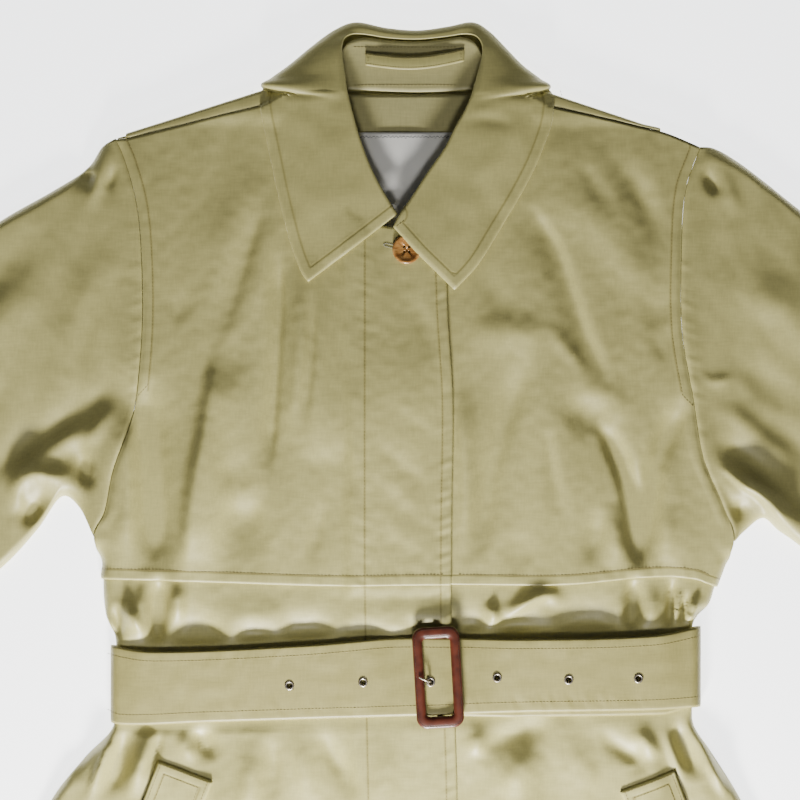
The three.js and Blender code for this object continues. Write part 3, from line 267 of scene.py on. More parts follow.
def crease_rise(creases, x, y):
    """Height of bent creases, each with its points, its width left and right, and its rise."""
    rise = np.zeros(np.broadcast(x, y).shape)
    x = np.broadcast_to(x, rise.shape)
    y = np.broadcast_to(y, rise.shape)
    for points, left, right, height in creases:
        path = smooth_path(points, 5)
        reach = 3 * max(left, right)
        (low_x, low_y), (high_x, high_y) = path.min(0) - reach, path.max(0) + reach
        near = (x > low_x) & (x < high_x) & (y > low_y) & (y < high_y)
        if not near.any():
            continue
        distance, along, length = path_distance(path, x[near], y[near])
        width = np.where(distance > 0, left, right)
        taper = min(length * 0.45, 45)
        ends = ease(0, taper, along) * (1 - ease(length - taper, length, along))
        rise[near] += height * ends * np.exp(-((distance / width) ** 2))
    return rise


def rumple(x, y, seed, wave, height):
    """Low crossing waves, as in cloth that has been worn and then smoothed by hand."""
    random = np.random.default_rng(seed)
    total = 0
    count = 9
    for i in range(count):
        turn, phase, bend_phase = random.uniform(0, 2 * math.pi, 3)
        length = wave * random.uniform(0.7, 1.7)
        forward = x * math.cos(turn) + y * math.sin(turn)
        sideways = y * math.cos(turn) - x * math.sin(turn)
        bend = 1.6 * np.sin(2 * math.pi * sideways / (2.2 * length) + bend_phase)
        total = total + np.sin(2 * math.pi * forward / length + phase + bend)
    return total * height / math.sqrt(count)


def under_belt(x, y, fade):
    """One at the belt and just past it, fading to none away from its edges."""
    above = ease(BELT_MARGIN, fade, y - read_off(BELT_TOP, x))
    below = ease(BELT_MARGIN, fade, read_off(BELT_BOTTOM, x) - y)
    return (1 - above) * (1 - below)


def back_lift(x, y):
    """How far the back is raised by the belt and the collar that pass beneath it."""
    side_layers = 1 + ease(BELT_TIP_X - 72, BELT_TIP_X - 38, x)
    belt = under_belt(x, y, BACK_FADE) * side_layers * BELT_LAYER
    collar = ease(384, 422, y) * ease(-132, -116, x) * (1 - ease(128, 144, x))
    return belt + collar * COLLAR_UNDERLAY


def level_at(levels, row):
    """Height up the coat of a row: 0 is the hem, 1 the hem of the cape and 2 the shoulder."""
    return np.where(row <= 1, mix(levels[0], levels[1], row), mix(levels[1], levels[2], row - 1))


def side_turn(row):
    """One where the side is a fold on the surface, none where it is the seam of the armhole."""
    return 1 - ease(BELOW_ARMPIT, ARMPIT, row)


RIGHT = {"side": RIGHT_SIDE, "sign": -1, "levels": (HEM_Y, 74, 426)}
LEFT = {"side": LEFT_SIDE, "sign": 1, "levels": (HEM_Y, 65.4, 419)}
RAILS = {"right": RIGHT, "left": LEFT}


def grid_quads(rows, columns, offset, flipped):
    """Corner numbers of the quads of a grid whose points start at offset."""
    first = offset + np.arange(rows - 1)[:, None] * columns + np.arange(columns - 1)[None, :]
    quads = np.stack([first, first + 1, first + columns + 1, first + columns], -1).reshape(-1, 4)
    return quads[:, ::-1] if flipped else quads


def add_mesh(name, points, quads, material, smooth=True):
    """A mesh object of quads, from points in millimetres."""
    mesh = bpy.data.meshes.new(name)
    mesh.vertices.add(len(points))
    mesh.vertices.foreach_set("co", (np.asarray(points, float) * MM).ravel())
    mesh.loops.add(quads.size)
    mesh.loops.foreach_set("vertex_index", quads.ravel())
    mesh.polygons.add(len(quads))
    mesh.polygons.foreach_set("loop_start", np.arange(len(quads)) * quads.shape[1])
    mesh.polygons.foreach_set("use_smooth", np.full(len(quads), smooth))
    mesh.update(calc_edges=True)
    mesh.materials.append(material)
    piece = bpy.data.objects.new(name, mesh)
    bpy.context.scene.collection.objects.link(piece)
    return piece


FAR = 99.0


def cloth_shell(name, outer, inner, material, seams=()):
    """A closed shell of cloth between two grids, with rounded edges. Each seam is a grid of the
    signed distance to a line of stitches, up to three, kept on the mesh for the material."""
    rows, columns = outer.shape[:2]
    count = rows * columns
    down = np.arange(rows) * columns
    loop = np.concatenate([
        np.arange(columns - 1), down[:-1] + columns - 1,
        (rows - 1) * columns + np.arange(columns - 1, 0, -1), down[:0:-1],
    ])
    flat_outer = outer.reshape(-1, 3)
    flat_inner = inner.reshape(-1, 3)
    rim = (flat_outer[loop] + flat_inner[loop]) / 2
    ahead = np.roll(flat_outer[loop], -1, 0) - np.roll(flat_outer[loop], 1, 0)
    outward = np.cross(ahead, flat_outer[loop] - flat_inner[loop])
    length = np.linalg.norm(outward, axis=1, keepdims=True)
    thickness = np.linalg.norm(flat_outer[loop] - flat_inner[loop], axis=1, keepdims=True)
    rim = rim + outward / np.maximum(length, 1e-9) * thickness * 0.3
    points = np.concatenate([flat_outer, flat_inner, rim])
    rim_at = 2 * count + np.arange(len(loop))
    rim_next = np.roll(rim_at, -1)
    loop_next = np.roll(loop, -1)
    quads = np.concatenate([
        grid_quads(rows, columns, 0, False),
        grid_quads(rows, columns, count, True),
        np.stack([loop_next, loop, rim_at, rim_next], 1),
        np.stack([rim_next, rim_at, loop + count, loop_next + count], 1),
    ])
    a, b, c, d = points[quads[: count // 3]].transpose(1, 0, 2)
    facing = np.cross(c - a, d - b)
    lift = (flat_outer - flat_inner)[quads[: count // 3, 0]]
    if np.sum(facing * lift) < 0:
        quads = quads[:, ::-1]
    piece = add_mesh(name, points, quads, material)
    distances = np.full((len(points), 3), FAR)
    for channel, seam in enumerate(seams):
        on_grid = np.broadcast_to(seam, (rows, columns)).ravel()
        distances[:, channel] = np.concatenate([on_grid, on_grid, on_grid[loop]])
    attribute = piece.data.attributes.new("seams", "FLOAT_VECTOR", "POINT")
    attribute.data.foreach_set("vector", distances.ravel())
    return piece


def maths(tree, operation, *values):
    """The result of a sum on up to three values or sockets."""
    return add_node(tree, "ShaderNodeMath", dict(enumerate(values)), operation=operation).outputs[0]


def stretched(tree, coordinates, scale=(1, 1, 1), turn=0.0):
    """Coordinates scaled, and turned about the upright axis."""
    inputs = {"Vector": coordinates, "Scale": scale, "Rotation": (0, 0, turn)}
    return add_node(tree, "ShaderNodeMapping", inputs).outputs["Vector"]


def new_group(kind, name, inputs, outputs):
    """A node group with named sockets, each input a name and the kind of its socket."""
    tree = bpy.data.node_groups.new(name, kind)
    for socket, socket_kind in inputs:
        tree.interface.new_socket(socket, in_out="INPUT", socket_type=socket_kind)
    for socket, socket_kind in outputs:
        tree.interface.new_socket(socket, in_out="OUTPUT", socket_type=socket_kind)
    return tree, add_node(tree, "NodeGroupInput").outputs


# Distance between the bands of a wave texture at scale 1
WAVE_SPACING = 0.314


def weave_group():
    """Gabardine weave: steep fine ribs, uneven yarns, and a slow change of shade."""
    tree, given = new_group(
        "ShaderNodeTree", "gabardine_weave",
        [("Coordinates", "NodeSocketVector"), ("Rib spacing", "NodeSocketFloat")],
        [(name, "NodeSocketFloat") for name in ("Height", "Yarn shade", "Cloth shade")],
    )
    place = given["Coordinates"]
    ribs = add_node(tree, "ShaderNodeTexWave", {
        "Vector": stretched(tree, place, turn=0.46),
        "Scale": maths(tree, "DIVIDE", WAVE_SPACING, given["Rib spacing"]),
        "Distortion": 2.2, "Detail": 2.0, "Detail Scale": 1.4,
    })
    warp = noise(tree, stretched(tree, place, (1, 0.12, 1)), 900.0, 2.0)
    weft = noise(tree, stretched(tree, place, (0.12, 1, 1)), 700.0, 2.0)
    yarns = maths(tree, "MULTIPLY", maths(tree, "ADD", warp, weft), 0.5)
    add_node(tree, "NodeGroupOutput", {
        "Height": maths(tree, "MULTIPLY_ADD", ribs.outputs["Fac"], 0.35, yarns),
        "Yarn shade": yarns,
        "Cloth shade": noise(tree, place, 14.0, 4.0, Roughness=0.6),
    })
    return tree


def seam_group():
    """Lines of stitches press a narrow furrow. It reads the distances kept on the mesh."""
    tree, given = new_group(
        "ShaderNodeTree", "stitched_furrow",
        [("Furrow width", "NodeSocketFloat")], [("Furrow", "NodeSocketFloat")],
    )
    distances = add_node(tree, "ShaderNodeAttribute", attribute_name="seams", attribute_type="GEOMETRY")
    total = 0.0
    for part in add_node(tree, "ShaderNodeSeparateXYZ", {"Vector": distances.outputs["Vector"]}).outputs:
        scaled = maths(tree, "DIVIDE", part, given["Furrow width"])
        square = maths(tree, "MULTIPLY", scaled, scaled)
        total = maths(tree, "ADD", total, maths(tree, "EXPONENT", maths(tree, "MULTIPLY", square, -1.0)))
    add_node(tree, "NodeGroupOutput", {"Furrow": total})
    return tree


weave_tree = weave_group()
seam_tree = seam_group()


def darken(tree, colour, shade):
    """A colour times a shade."""
    mixed = add_node(tree, "ShaderNodeMix", {"Factor": 1.0}, data_type="RGBA", blend_type="MULTIPLY")
    tree.links.new(colour, mixed.inputs["A"])
    tree.links.new(shade, mixed.inputs["B"])
    return mixed.outputs["Result"]


def put_on(tree, shader, colour, height, strength, distance):
    """Gives a shader its colour and the fine relief of its surface."""
    relief = add_node(tree, "ShaderNodeBump", {"Height": height, "Strength": strength, "Distance": distance})
    tree.links.new(colour, shader.inputs["Base Color"])
    tree.links.new(relief.outputs["Normal"], shader.inputs["Normal"])


def gabardine(name, pale, deep, seamed=True):
    """Cotton gabardine: pale and deep khaki in slow patches, satin sheen, stitched furrows darkened by
    painted shade.
    """
    material, tree, shader = new_material(name, 0.46, specular=0.6)
    shader.inputs["Sheen Weight"].default_value = 0.18
    shader.inputs["Sheen Roughness"].default_value = 0.35
    shader.inputs["Sheen Tint"].default_value = (1, 0.97, 0.82, 1)
    weave = add_node(tree, "ShaderNodeGroup", node_tree=weave_tree)
    tree.links.new(object_coordinates(tree), weave.inputs["Coordinates"])
    weave.inputs["Rib spacing"].default_value = 0.0007
    cloth, yarn, height = (weave.outputs[socket] for socket in ("Cloth shade", "Yarn shade", "Height"))
    yarn_shade = colour_ramp(tree, yarn, (0.3, (0.86, 0.86, 0.84)), (0.7, (1.06, 1.06, 1.04)))
    colour = darken(tree, colour_ramp(tree, cloth, (0.32, deep), (0.68, pale)), yarn_shade)
    if seamed:
        furrows = add_node(tree, "ShaderNodeGroup", node_tree=seam_tree)
        furrows.inputs["Furrow width"].default_value = 0.9
        furrow = furrows.outputs["Furrow"]
        # Painted shade: the colour is darkened along the stitched furrows, on top of the bump that presses
        # them in.
        colour = darken(tree, colour, colour_ramp(tree, furrow, (0.0, (1, 1, 1)), (1.0, (0.72, 0.70, 0.62))))
        height = maths(tree, "MULTIPLY_ADD", furrow, -4.0, height)
    put_on(tree, shader, colour, height, 0.5, 0.00008)
    return material


khaki = gabardine("khaki_gabardine", (0.51, 0.47, 0.185), (0.47, 0.43, 0.165))
# Painted light: a paler, greyer copy of the khaki, with no stitched furrows, that brightens the shaded
# pieces: the back sheet, neck facing, collar stand and sleeve undersides.
paler_khaki_painted_light = gabardine("khaki_gabardine_paler_painted_light", (0.54, 0.50, 0.23), (0.50, 0.46, 0.21), seamed=False)


def coat_piece(piece, *nodes, slot="gabardine"):
    """A piece of the coat moves with it and stands for its solids."""
    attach(piece, "root")
    if nodes:
        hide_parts(*nodes)


SHOULDER_FOLDS = {
    "right": ((-219, 430.6), (-106, 466)),
    "left": ((115, 464.2), (208, 433.6)),
}


def join_pieces(name, pieces):
    """One object of several meshes that belong to one piece."""
    with bpy.context.temp_override(active_object=pieces[0], selected_editable_objects=pieces):
        bpy.ops.object.join()
    pieces[0].name = name
    pieces[0].data.name = name
    return pieces[0]


def wall_grids(middle, thickness):
    """The two faces of a wall about a grid of middle points."""
    normal = np.cross(np.gradient(middle, axis=1), np.gradient(middle, axis=0))
    normal /= np.maximum(np.linalg.norm(normal, axis=2, keepdims=True), 1e-9)
    return middle + normal * thickness / 2, middle - normal * thickness / 2


def back_side(rail, level, inset):
    """Place across of a side of the back at a level."""
    return read_off(rail["side"], rail["levels"][level]) - rail["sign"] * inset


def back_grid(offset):
    """Points of the sheet of the back, at an offset above what it lies on."""
    rows = np.concatenate([np.linspace(0, 0.80, 24), np.linspace(0.82, 1.0, 20), np.linspace(1.03, 2, 34)])
    inset = mix(SHOULDER_INSET, BACK_INSET, side_turn(rows))
    start = read_off(RIGHT_SIDE, level_at(RIGHT["levels"], rows)) + inset
    end = read_off(LEFT_SIDE, level_at(LEFT["levels"], rows)) - inset
    across = np.linspace(0, 1, 48)
    x = mix(start[:, None], end[:, None], across[None, :])
    cape_x = mix(back_side(RIGHT, 1, BACK_INSET), back_side(LEFT, 1, BACK_INSET), across)
    top_x = mix(back_side(RIGHT, 2, SHOULDER_INSET), back_side(LEFT, 2, SHOULDER_INSET), across)
    at_cape = read_off(CAPE_HEM, cape_x)[None, :]
    at_top = read_off(BACK_TOP, top_x)[None, :]
    row = rows[:, None]
    y = np.where(row <= 1, mix(HEM_Y + 2, at_cape, row), mix(at_cape, at_top, row - 1))
    return np.stack([x, y, back_lift(x, y) + offset], -1)


# Fronts. Two panels of the same cloth, the right one lapping 77 mm over the left. Each side edge
# is a fold down to the surface, and the front edge and the fly are stitched through.

OVERLAP = 77.0
STEP_UP = 12.0
STITCH_INSET = 8.0
FRONT_EDGE = [
    (-520, 46), (-103, 45.3), (-46, 43.8), (37, 40.8), (119, 40.8), (217, 41.8), (281, 38), (335, 36),
]
FRONT_TOP = [
    (-227, 425), (-218, 426), (-111, 452), (-76, 459), (-62, 402), (-45, 370), (-20, 357), (10, 352),
    (38, 338), (55, 362), (74, 402), (88, 459), (122, 451.5), (190, 436), (214, 430), (240, 419),
]
FLY = [(-520, -24), (-103, -25.4), (-46, -26.4), (69, -28), (335, -28)]

# Creases of the body: its points, width on its left and on its right, and its rise
CAPE_CREASES = [
    ([(-207, 240), (-205, 193), (-201, 137), (-196, 73)], 15, 8, -4.6),
    ([(-216, 215), (-218, 137), (-219, 77)], 6, 12, 3.0),
    ([(-143, 262), (-156, 185), (-165, 137), (-171, 74)], 24, 7, 4.4),
    ([(-107, 389), (-124, 333), (-138, 285), (-149, 255)], 7, 12, -2.2),
    ([(-118, 273), (-110, 321), (-102, 365)], 8, 8, 1.4),
    ([(-97, 349), (-96, 297), (-98, 249), (-102, 193), (-106, 150)], 3.5, 9, -2.6),
    ([(-83, 337), (-80, 273), (-85, 217), (-88, 177)], 6, 7, 1.3),
    ([(-73, 309), (-70, 273), (-73, 229), (-78, 185)], 3.5, 6, -1.5),
    ([(-150, 126), (-128, 122), (-100, 122)], 15, 26, -3.2),
    ([(-160, 234), (-142, 239), (-122, 236)], 18, 22, -0.9),
    ([(-148, 151), (-131, 158), (-115, 154)], 12, 12, -0.9),
    ([(-190, 287), (-178, 290), (-168, 282)], 12, 14, -0.7),
    ([(-92, 190), (-48, 205), (0, 208), (40, 198)], 70, 62, 2.4),
    ([(-50, 191), (-40, 161), (-26, 124)], 6, 9, -0.7),
    ([(-22, 193), (-2, 167), (30, 140)], 6, 9, -0.6),
    ([(-27, 161), (-3, 133), (29, 106)], 6, 9, -0.5),
    ([(-14, 214), (10, 198), (32, 180)], 6, 9, -0.4),
    ([(-22, 119), (0, 100), (29, 89)], 6, 9, -0.4),
    ([(-82, 161), (-62, 167), (-44, 161)], 10, 12, -0.7),
    ([(-62, 140), (-67, 108), (-75, 79)], 5, 7, -1.2),
    ([(-48, 273), (-38, 239), (-30, 209)], 10, 7, -0.8),
    ([(6, 305), (21, 273), (27, 239)], 8, 8, -0.9),
    ([(-176, 337), (-128, 349), (-110, 346)], 24, 24, 0.8),
    ([(93, 380), (117, 351), (130, 324), (141, 290), (154, 255), (170, 220)], 5.5, 13, -2.4),
    ([(108, 397), (152, 359), (192, 319), (218, 297)], 16, 16, 1.6),
    ([(170, 417), (192, 383), (214, 332)], 9, 10, -2.0),
    ([(138, 418), (158, 385), (174, 359)], 7, 9, -1.1),
    ([(154, 206), (170, 180), (181, 153), (187, 121), (192, 79)], 7, 6, -6.0),
    ([(182, 161), (187, 129), (192, 81)], 4, 4, -3.2),
    ([(234, 222), (216, 193), (205, 161), (198, 121), (194, 81)], 9, 11, -5.0),
    ([(168, 137), (173, 105), (178, 78)], 6, 10, 2.2),
    ([(211, 137), (213, 105), (214, 78)], 9, 7, 1.8),
    ([(128, 196), (150, 207), (170, 196)], 16, 16, -2.2),
    ([(136, 223), (160, 220), (192, 201)], 12, 12, 1.4),
    ([(106, 257), (90, 217), (78, 177), (69, 133), (62, 84)], 9, 12, -2.4),
    ([(50, 233), (51, 185), (53, 137), (50, 89)], 9, 6, 2.2),
    ([(116, 205), (122, 161), (130, 114)], 5, 8, -1.3),
    ([(48, 266), (80, 272), (130, 268)], 12, 14, 1.8),
    ([(112, 281), (136, 255), (152, 230)], 6, 6, 0.9),
    ([(166, 133), (157, 109), (149, 81)], 8, 9, -1.7),
    ([(76, 105), (96, 97), (114, 102)], 13, 14, -0.8),
    ([(190, 282), (208, 287), (221, 281)], 12, 14, -0.8),
    ([(198, 255), (211, 260), (222, 255)], 12, 12, -0.6),
    ([(64, 327), (80, 297), (88, 276)], 8, 8, -0.8),
]
WAIST_CREASES = [
    ([(-192, 79), (-193, 49), (-194, 17)], 5.5, 5.5, -7.5),
    ([(-178, 74), (-178, 52), (-179, 34)], 6, 5, 3.2),
    ([(-206, 73), (-206, 52), (-203, 28)], 4, 7, 3.0),
    ([(-219, 60), (-213, 44), (-203, 25)], 4, 6, 4.2),
    ([(-227, 57), (-226, 39), (-222, 20)], 3.5, 3.5, -3.6),
    ([(-192, 24), (-160, 27), (-130, 25)], 17, 9, -5.0),
    ([(-140, 26), (-110, 27), (-90, 26)], 12, 8, -3.6),
    ([(-106, 28), (-78, 29), (-46, 28)], 16, 8, -4.8),
    ([(-60, 28), (-30, 29), (2, 29)], 8, 8, -2.4),
    ([(-4, 31), (18, 32), (42, 32)], 9, 8, -2.4),
    ([(34, 31), (54, 34), (74, 32)], 16, 8, -3.6),
    ([(69, 57), (74, 47), (77, 33)], 5, 5, 3.2),
    ([(78, 38), (96, 52), (115, 61), (125, 57), (130, 47)], 6, 5, 4.4),
    ([(60, 30), (92, 32), (128, 33)], 11, 8, -3.6),
    ([(108, 33), (148, 37), (190, 35)], 17, 9, -5.0),
    ([(186, 81), (186, 54), (184, 25)], 6, 5, -7.0),
    ([(202, 71), (202, 52), (200, 33)], 6, 5, 1.6),
    ([(218, 78), (217, 54), (214, 28)], 2.8, 2.8, -6.0),
    ([(223, 70), (222, 52), (219, 31)], 2.2, 2.4, 2.6),
    ([(230, 66), (227, 52), (222, 31)], 2.6, 2.6, -3.2),
    ([(237, 65), (234, 50), (230, 33)], 4, 3, 3.4),
    ([(250, 60), (246, 47), (240, 34)], 5, 5, 1.6),
]
SKIRT_CREASES = [
    ([(-218, -41), (-226, -74), (-237, -108)], 7, 5, -4.4),
    ([(-226, -42), (-237, -70), (-250, -108)], 3.5, 4, 3.6),
    ([(-237, -44), (-250, -65), (-262, -90)], 4, 4, -3.0),
    ([(-246, -55), (-259, -74), (-272, -95)], 4, 4, 2.2),
    ([(-198, -44), (-208, -74), (-221, -108)], 7, 6, 3.2),
    ([(-190, -42), (-196, -65), (-203, -87)], 4, 4, -2.4),
    ([(-165, -39), (-157, -58), (-146, -73)], 8, 6, -3.2),
    ([(-176, -47), (-171, -62), (-163, -74)], 5, 5, 1.8),
    ([(-104, -47), (-102, -78), (-107, -113)], 7, 8, -2.2),
    ([(-123, -55), (-120, -87), (-125, -119)], 8, 8, 1.6),
    ([(-67, -39), (-56, -63), (-43, -86), (-37, -113)], 7, 8, -2.4),
    ([(-83, -47), (-77, -79), (-72, -113)], 9, 8, 1.8),
    ([(-16, -47), (-13, -87), (-16, -127)], 12, 10, 1.4),
    ([(62, -76), (78, -58), (102, -46), (133, -41)], 8, 11, -3.0),
    ([(59, -44), (62, -55), (59, -71)], 8, 7, 2.4),
    ([(80, -103), (96, -79), (118, -65)], 10, 12, 2.0),
    ([(157, -42), (170, -58), (192, -73), (178, -87)], 7, 7, -2.4),
    ([(184, -44), (198, -58), (208, -71)], 6, 7, 2.4),
    ([(128, -55), (144, -71), (160, -103)], 12, 12, 1.2),
    ([(218, -36), (226, -58), (241, -89)], 5, 5, -4.0),
    ([(229, -36), (243, -63), (264, -108)], 3.5, 4, 3.4),
    ([(238, -36), (254, -62), (274, -100)], 4, 4, -3.0),
    ([(211, -41), (218, -65), (230, -95)], 4, 4, 2.6),
    ([(253, -58), (267, -84), (280, -108)], 4, 4, 2.0),
    ([(-126, -60), (-120, -110), (-130, -220)], 18, 14, 1.4),
    ([(96, -50), (100, -120), (92, -230)], 14, 18, 1.4),
    ([(60, -60), (58, -140), (66, -300)], 10, 14, -1.0),
    ([(-150, -200), (-160, -300), (-158, -420)], 16, 20, 1.6),
    ([(-220, -220), (-240, -320), (-246, -430)], 12, 16, -1.8),
    ([(-60, -260), (-54, -360), (-60, -450)], 18, 14, 1.4),
    ([(120, -220), (132, -320), (128, -440)], 16, 18, -1.4),
    ([(200, -230), (222, -330), (230, -440)], 14, 12, 1.8),
    ([(280, -260), (296, -360), (300, -450)], 12, 14, -1.4),
]


# How much of the tables' rises the cloth takes, and how gently it comes to rest on the back
FOLD_SHARE = 0.8
CREASE_SHARE = 1.7
NECK_CREASE_SHARE = 1.0
SHOULDER_RISE = 1.6
REST_SOFTNESS = 0.5


def front_bed(x, y):
    """Height of the underside of the lowest front layer."""
    fuller_low = LOW_FULLNESS * (1 - ease(240, 310, y))
    loose = FULLNESS + fuller_low + FOLD_SHARE * fold_rise(BODY_FOLDS, x, y)
    near_neck = ease(290, 340, y) * (1 - ease(90, 130, np.abs(x)))
    for creases in (CAPE_CREASES, WAIST_CREASES, SKIRT_CREASES):
        loose = loose + mix(CREASE_SHARE, NECK_CREASE_SHARE, near_neck) * crease_rise(creases, x, y)
    loose = loose + rumple(x, y * 0.45, 3, 40, 0.42) + rumple(x, y, 4, 15, 0.11)
    loose = loose + ease(434, 446, y) * SHOULDER_RISE
    floor_height = back_lift(x, y) + CLOTH + 1
    loose = mix(loose, BELT_BED, under_belt(x, y, FRONT_FADE))
    clear = loose - floor_height
    return floor_height + (clear + np.sqrt(clear**2 + REST_SOFTNESS)) / 2


def side_fold(rail, row):
    """The fold at a side: place across, how far it turns, heights of its foot and top, radius."""
    y = level_at(rail["levels"], row)
    x = read_off(rail["side"], y)
    turn = side_turn(row)
    foot = EDGE_HEIGHT * turn + back_lift(x - rail["sign"] * 4, y)
    bed = front_bed(x - rail["sign"] * 6, y)
    return x, turn, foot, bed, np.maximum(bed - foot - 0.6, 0.8)


FLAT_INSET = 15
# Columns of a turned edge: the angle of the cloth there, whether it is the foot, and the inset
# that it has where the edge is flat
TURNED_COLUMNS = [(90, 1, 0)] + [
    (angle, 0, FLAT_INSET * (1 - angle / 90)) for angle in (90, 78, 65, 52, 39, 26, 13, 0)
]


def turned_columns(rail, row):
    """Place across, drop and lean of the columns that turn down at a side, for each row."""
    x, turn, foot, bed, radius = (value[:, None] for value in side_fold(rail, row))
    angle, at_foot, flat = np.array(TURNED_COLUMNS, float).T[:, None, :]
    angle = np.radians(angle)
    inset = mix(flat, CLOTH + radius * (1 - np.sin(angle)), turn)
    drop = np.where(at_foot > 0, bed - foot, radius * (1 - np.cos(angle))) * turn
    lean = np.arctan2(np.sin(angle) * turn, mix(1, np.cos(angle), turn)) * rail["sign"]
    return x - rail["sign"] * inset, drop, lean


FRONT_EDGE_LEVELS = (HEM_Y, 69, 338)


def body_columns(row, side, panel_steps, centre_insets):
    """Columns of the right or left half, from its side edge to the front edge."""
    x, drop, lean = turned_columns(RAILS[side], row)
    edge = read_off(FRONT_EDGE, level_at(FRONT_EDGE_LEVELS, row))[:, None]
    centre = edge - np.array(centre_insets, float)[None, :]
    share = np.linspace(0, 1, panel_steps + 1)[None, 1:-1]
    panel = mix(x[:, -1:], centre[:, :1], share)
    x = np.concatenate([x, panel, centre], 1)
    rest = np.zeros((len(row), panel.shape[1] + centre.shape[1]))
    return x, np.concatenate([drop, rest], 1), np.concatenate([lean, rest], 1)


def body_grid(rows, side, panel_steps, centre_insets, offset):
    """Points of one face of a front or cape. offset is a function of place and row."""
    x, drop, lean = body_columns(rows, side, panel_steps, centre_insets)
    cape_x = body_columns(np.array([1.0]), side, panel_steps, centre_insets)[0]
    top_x = body_columns(np.array([2.0]), side, panel_steps, centre_insets)[0]
    at_cape = read_off(CAPE_HEM, cape_x)
    at_top = read_off(FRONT_TOP, top_x)
    row = rows[:, None]
    y = np.where(row <= 1, mix(HEM_Y, at_cape, row), mix(at_cape, at_top, row - 1))
    bed = front_bed(x, y)
    low = np.maximum(bed - drop, EDGE_HEIGHT)
    base = np.stack([x, y, low], -1)
    out = np.stack([np.sin(lean), np.zeros_like(x), np.cos(lean)], -1)
    return base, out * offset(x, y, row)[..., None], out


def front_edge_x(y):
    return read_off(FRONT_EDGE, y)


def lap_layers(x, y):
    """Layers under the lapping front: one below the hem of the cape and two above it."""
    inside = front_edge_x(y) - x
    step = ease(OVERLAP + STEP_UP, OVERLAP, inside)
    return step * (1 + ease(-12, -1, y - read_off(CAPE_HEM, x)))


def stitched_band(distance, width, height):
    """The extra thickness of a turned and stitched edge, rounded off at the edge itself."""
    inner = 1 - ease(width - 0.5, width + 1.5, distance)
    return height * inner * ease(-0.5, 2.0, distance)


def puckers(along, distance, seed, width=9.0, height=0.45):
    """Small gathers that a tight line of stitches draws into the cloth beside it."""
    random = np.random.default_rng(seed)
    total = 0
    for length in (7.5, 10.5, 15.5, 23.0):
        total = total + np.sin(2 * math.pi * (along + 0.35 * distance) / length + random.uniform(0, 6))
    uneven = 0.55 + 0.45 * np.sin(along / 37.0 + seed)
    return height * uneven * total / 2.4 * np.exp(-((distance / width) ** 2))


def front_surface(x, y):
    """Fine relief of the fronts: turned edges, puckers along the stitches."""
    edge = front_edge_x(y) - x
    relief = stitched_band(edge, STITCH_INSET, 0.35) + puckers(y, edge - 5, 11, 7.0, 0.30)
    fly = x - read_off(FLY, y)
    return relief + puckers(y, fly, 12, 8.0, 0.14) + 0.2 * ease(0.8, -0.8, fly)


SKIRT_ROWS = np.concatenate([
    np.linspace(HEM_Y, -130, 76)[:-1], np.linspace(-130, -48, 36)[:-1], np.linspace(-48, 14, 12)[:-1],
    np.linspace(14, 68, 32),
])
SKIRT_TOP = 70
SKIRT_ROWS = (SKIRT_ROWS - HEM_Y) / (SKIRT_TOP - HEM_Y)
HIDDEN_ROWS = np.linspace(1, 2, 27)[1:]
FRONT_ROWS = np.concatenate([SKIRT_ROWS, [0.9985], HIDDEN_ROWS])
CAPE_ROWS = np.concatenate([[1, 1.004], 1 + np.linspace(0.009, 1, 158)])

LAP_INSETS = np.concatenate([np.linspace(OVERLAP + STEP_UP, 10, 34)[:-1], np.linspace(10, 0, 9)])
UNDER_INSETS = np.concatenate([np.linspace(0, 24, 10), np.linspace(30, OVERLAP, 9)])


def tree_of(*objects):
    """For finding the top of finished pieces."""
    trees = []
    for piece in objects:
        mesh = piece.data
        points = np.empty(len(mesh.vertices) * 3)
        mesh.vertices.foreach_get("co", points)
        corners = np.empty(len(mesh.loops), int)
        mesh.loops.foreach_get("vertex_index", corners)
        polygons = corners.reshape(-1, 4).tolist()
        trees.append(BVHTree.FromPolygons(points.reshape(-1, 3).tolist(), polygons))
    return trees


def top_of(trees, x, y):
    """Height of the highest surface at each place, in millimetres, or zero where there is none."""
    heights = []
    for px, py in zip(np.ravel(x) * MM, np.ravel(y) * MM):
        hits = [tree.ray_cast((px, py, 0.1), (0, 0, -1))[0] for tree in trees]
        heights.append(max([hit.z for hit in hits if hit] or [0]) / MM)
    return np.array(heights).reshape(np.shape(x))


def stitch_tree():
    """Short threads laid end to end, a little apart, along every line of a mesh of edges."""
    tree, given = new_group("GeometryNodeTree", "stitches", [
        ("Lines", "NodeSocketGeometry"), ("Pitch", "NodeSocketFloat"), ("Thread radius", "NodeSocketFloat"),
        ("Stitch length", "NodeSocketFloat"), ("Thread", "NodeSocketMaterial"),
    ], [("Geometry", "NodeSocketGeometry")])
    curves = add_node(tree, "GeometryNodeMeshToCurve", {"Mesh": given["Lines"]})
    places = add_node(tree, "GeometryNodeCurveToPoints", {
        "Curve": curves.outputs["Curve"], "Length": given["Pitch"],
    }, mode="LENGTH")
    thread = add_node(tree, "GeometryNodeMeshUVSphere", {"Segments": 6, "Rings": 4, "Radius": 1.0})
    size = add_node(tree, "ShaderNodeCombineXYZ", {
        "X": given["Thread radius"], "Y": given["Thread radius"],
        "Z": maths(tree, "MULTIPLY", given["Stitch length"], 0.5),
    })
    laid = add_node(tree, "GeometryNodeInstanceOnPoints", {
        "Points": places.outputs["Points"], "Instance": thread.outputs["Mesh"],
        "Rotation": places.outputs["Rotation"], "Scale": size.outputs["Vector"],
    })
    real = add_node(tree, "GeometryNodeRealizeInstances", {"Geometry": laid.outputs["Instances"]})
    finished = add_node(tree, "GeometryNodeSetMaterial", {
        "Geometry": real.outputs["Geometry"], "Material": given["Thread"],
    })
    add_node(tree, "NodeGroupOutput", {"Geometry": finished.outputs["Geometry"]})
    return tree


stitches_tree = stitch_tree()


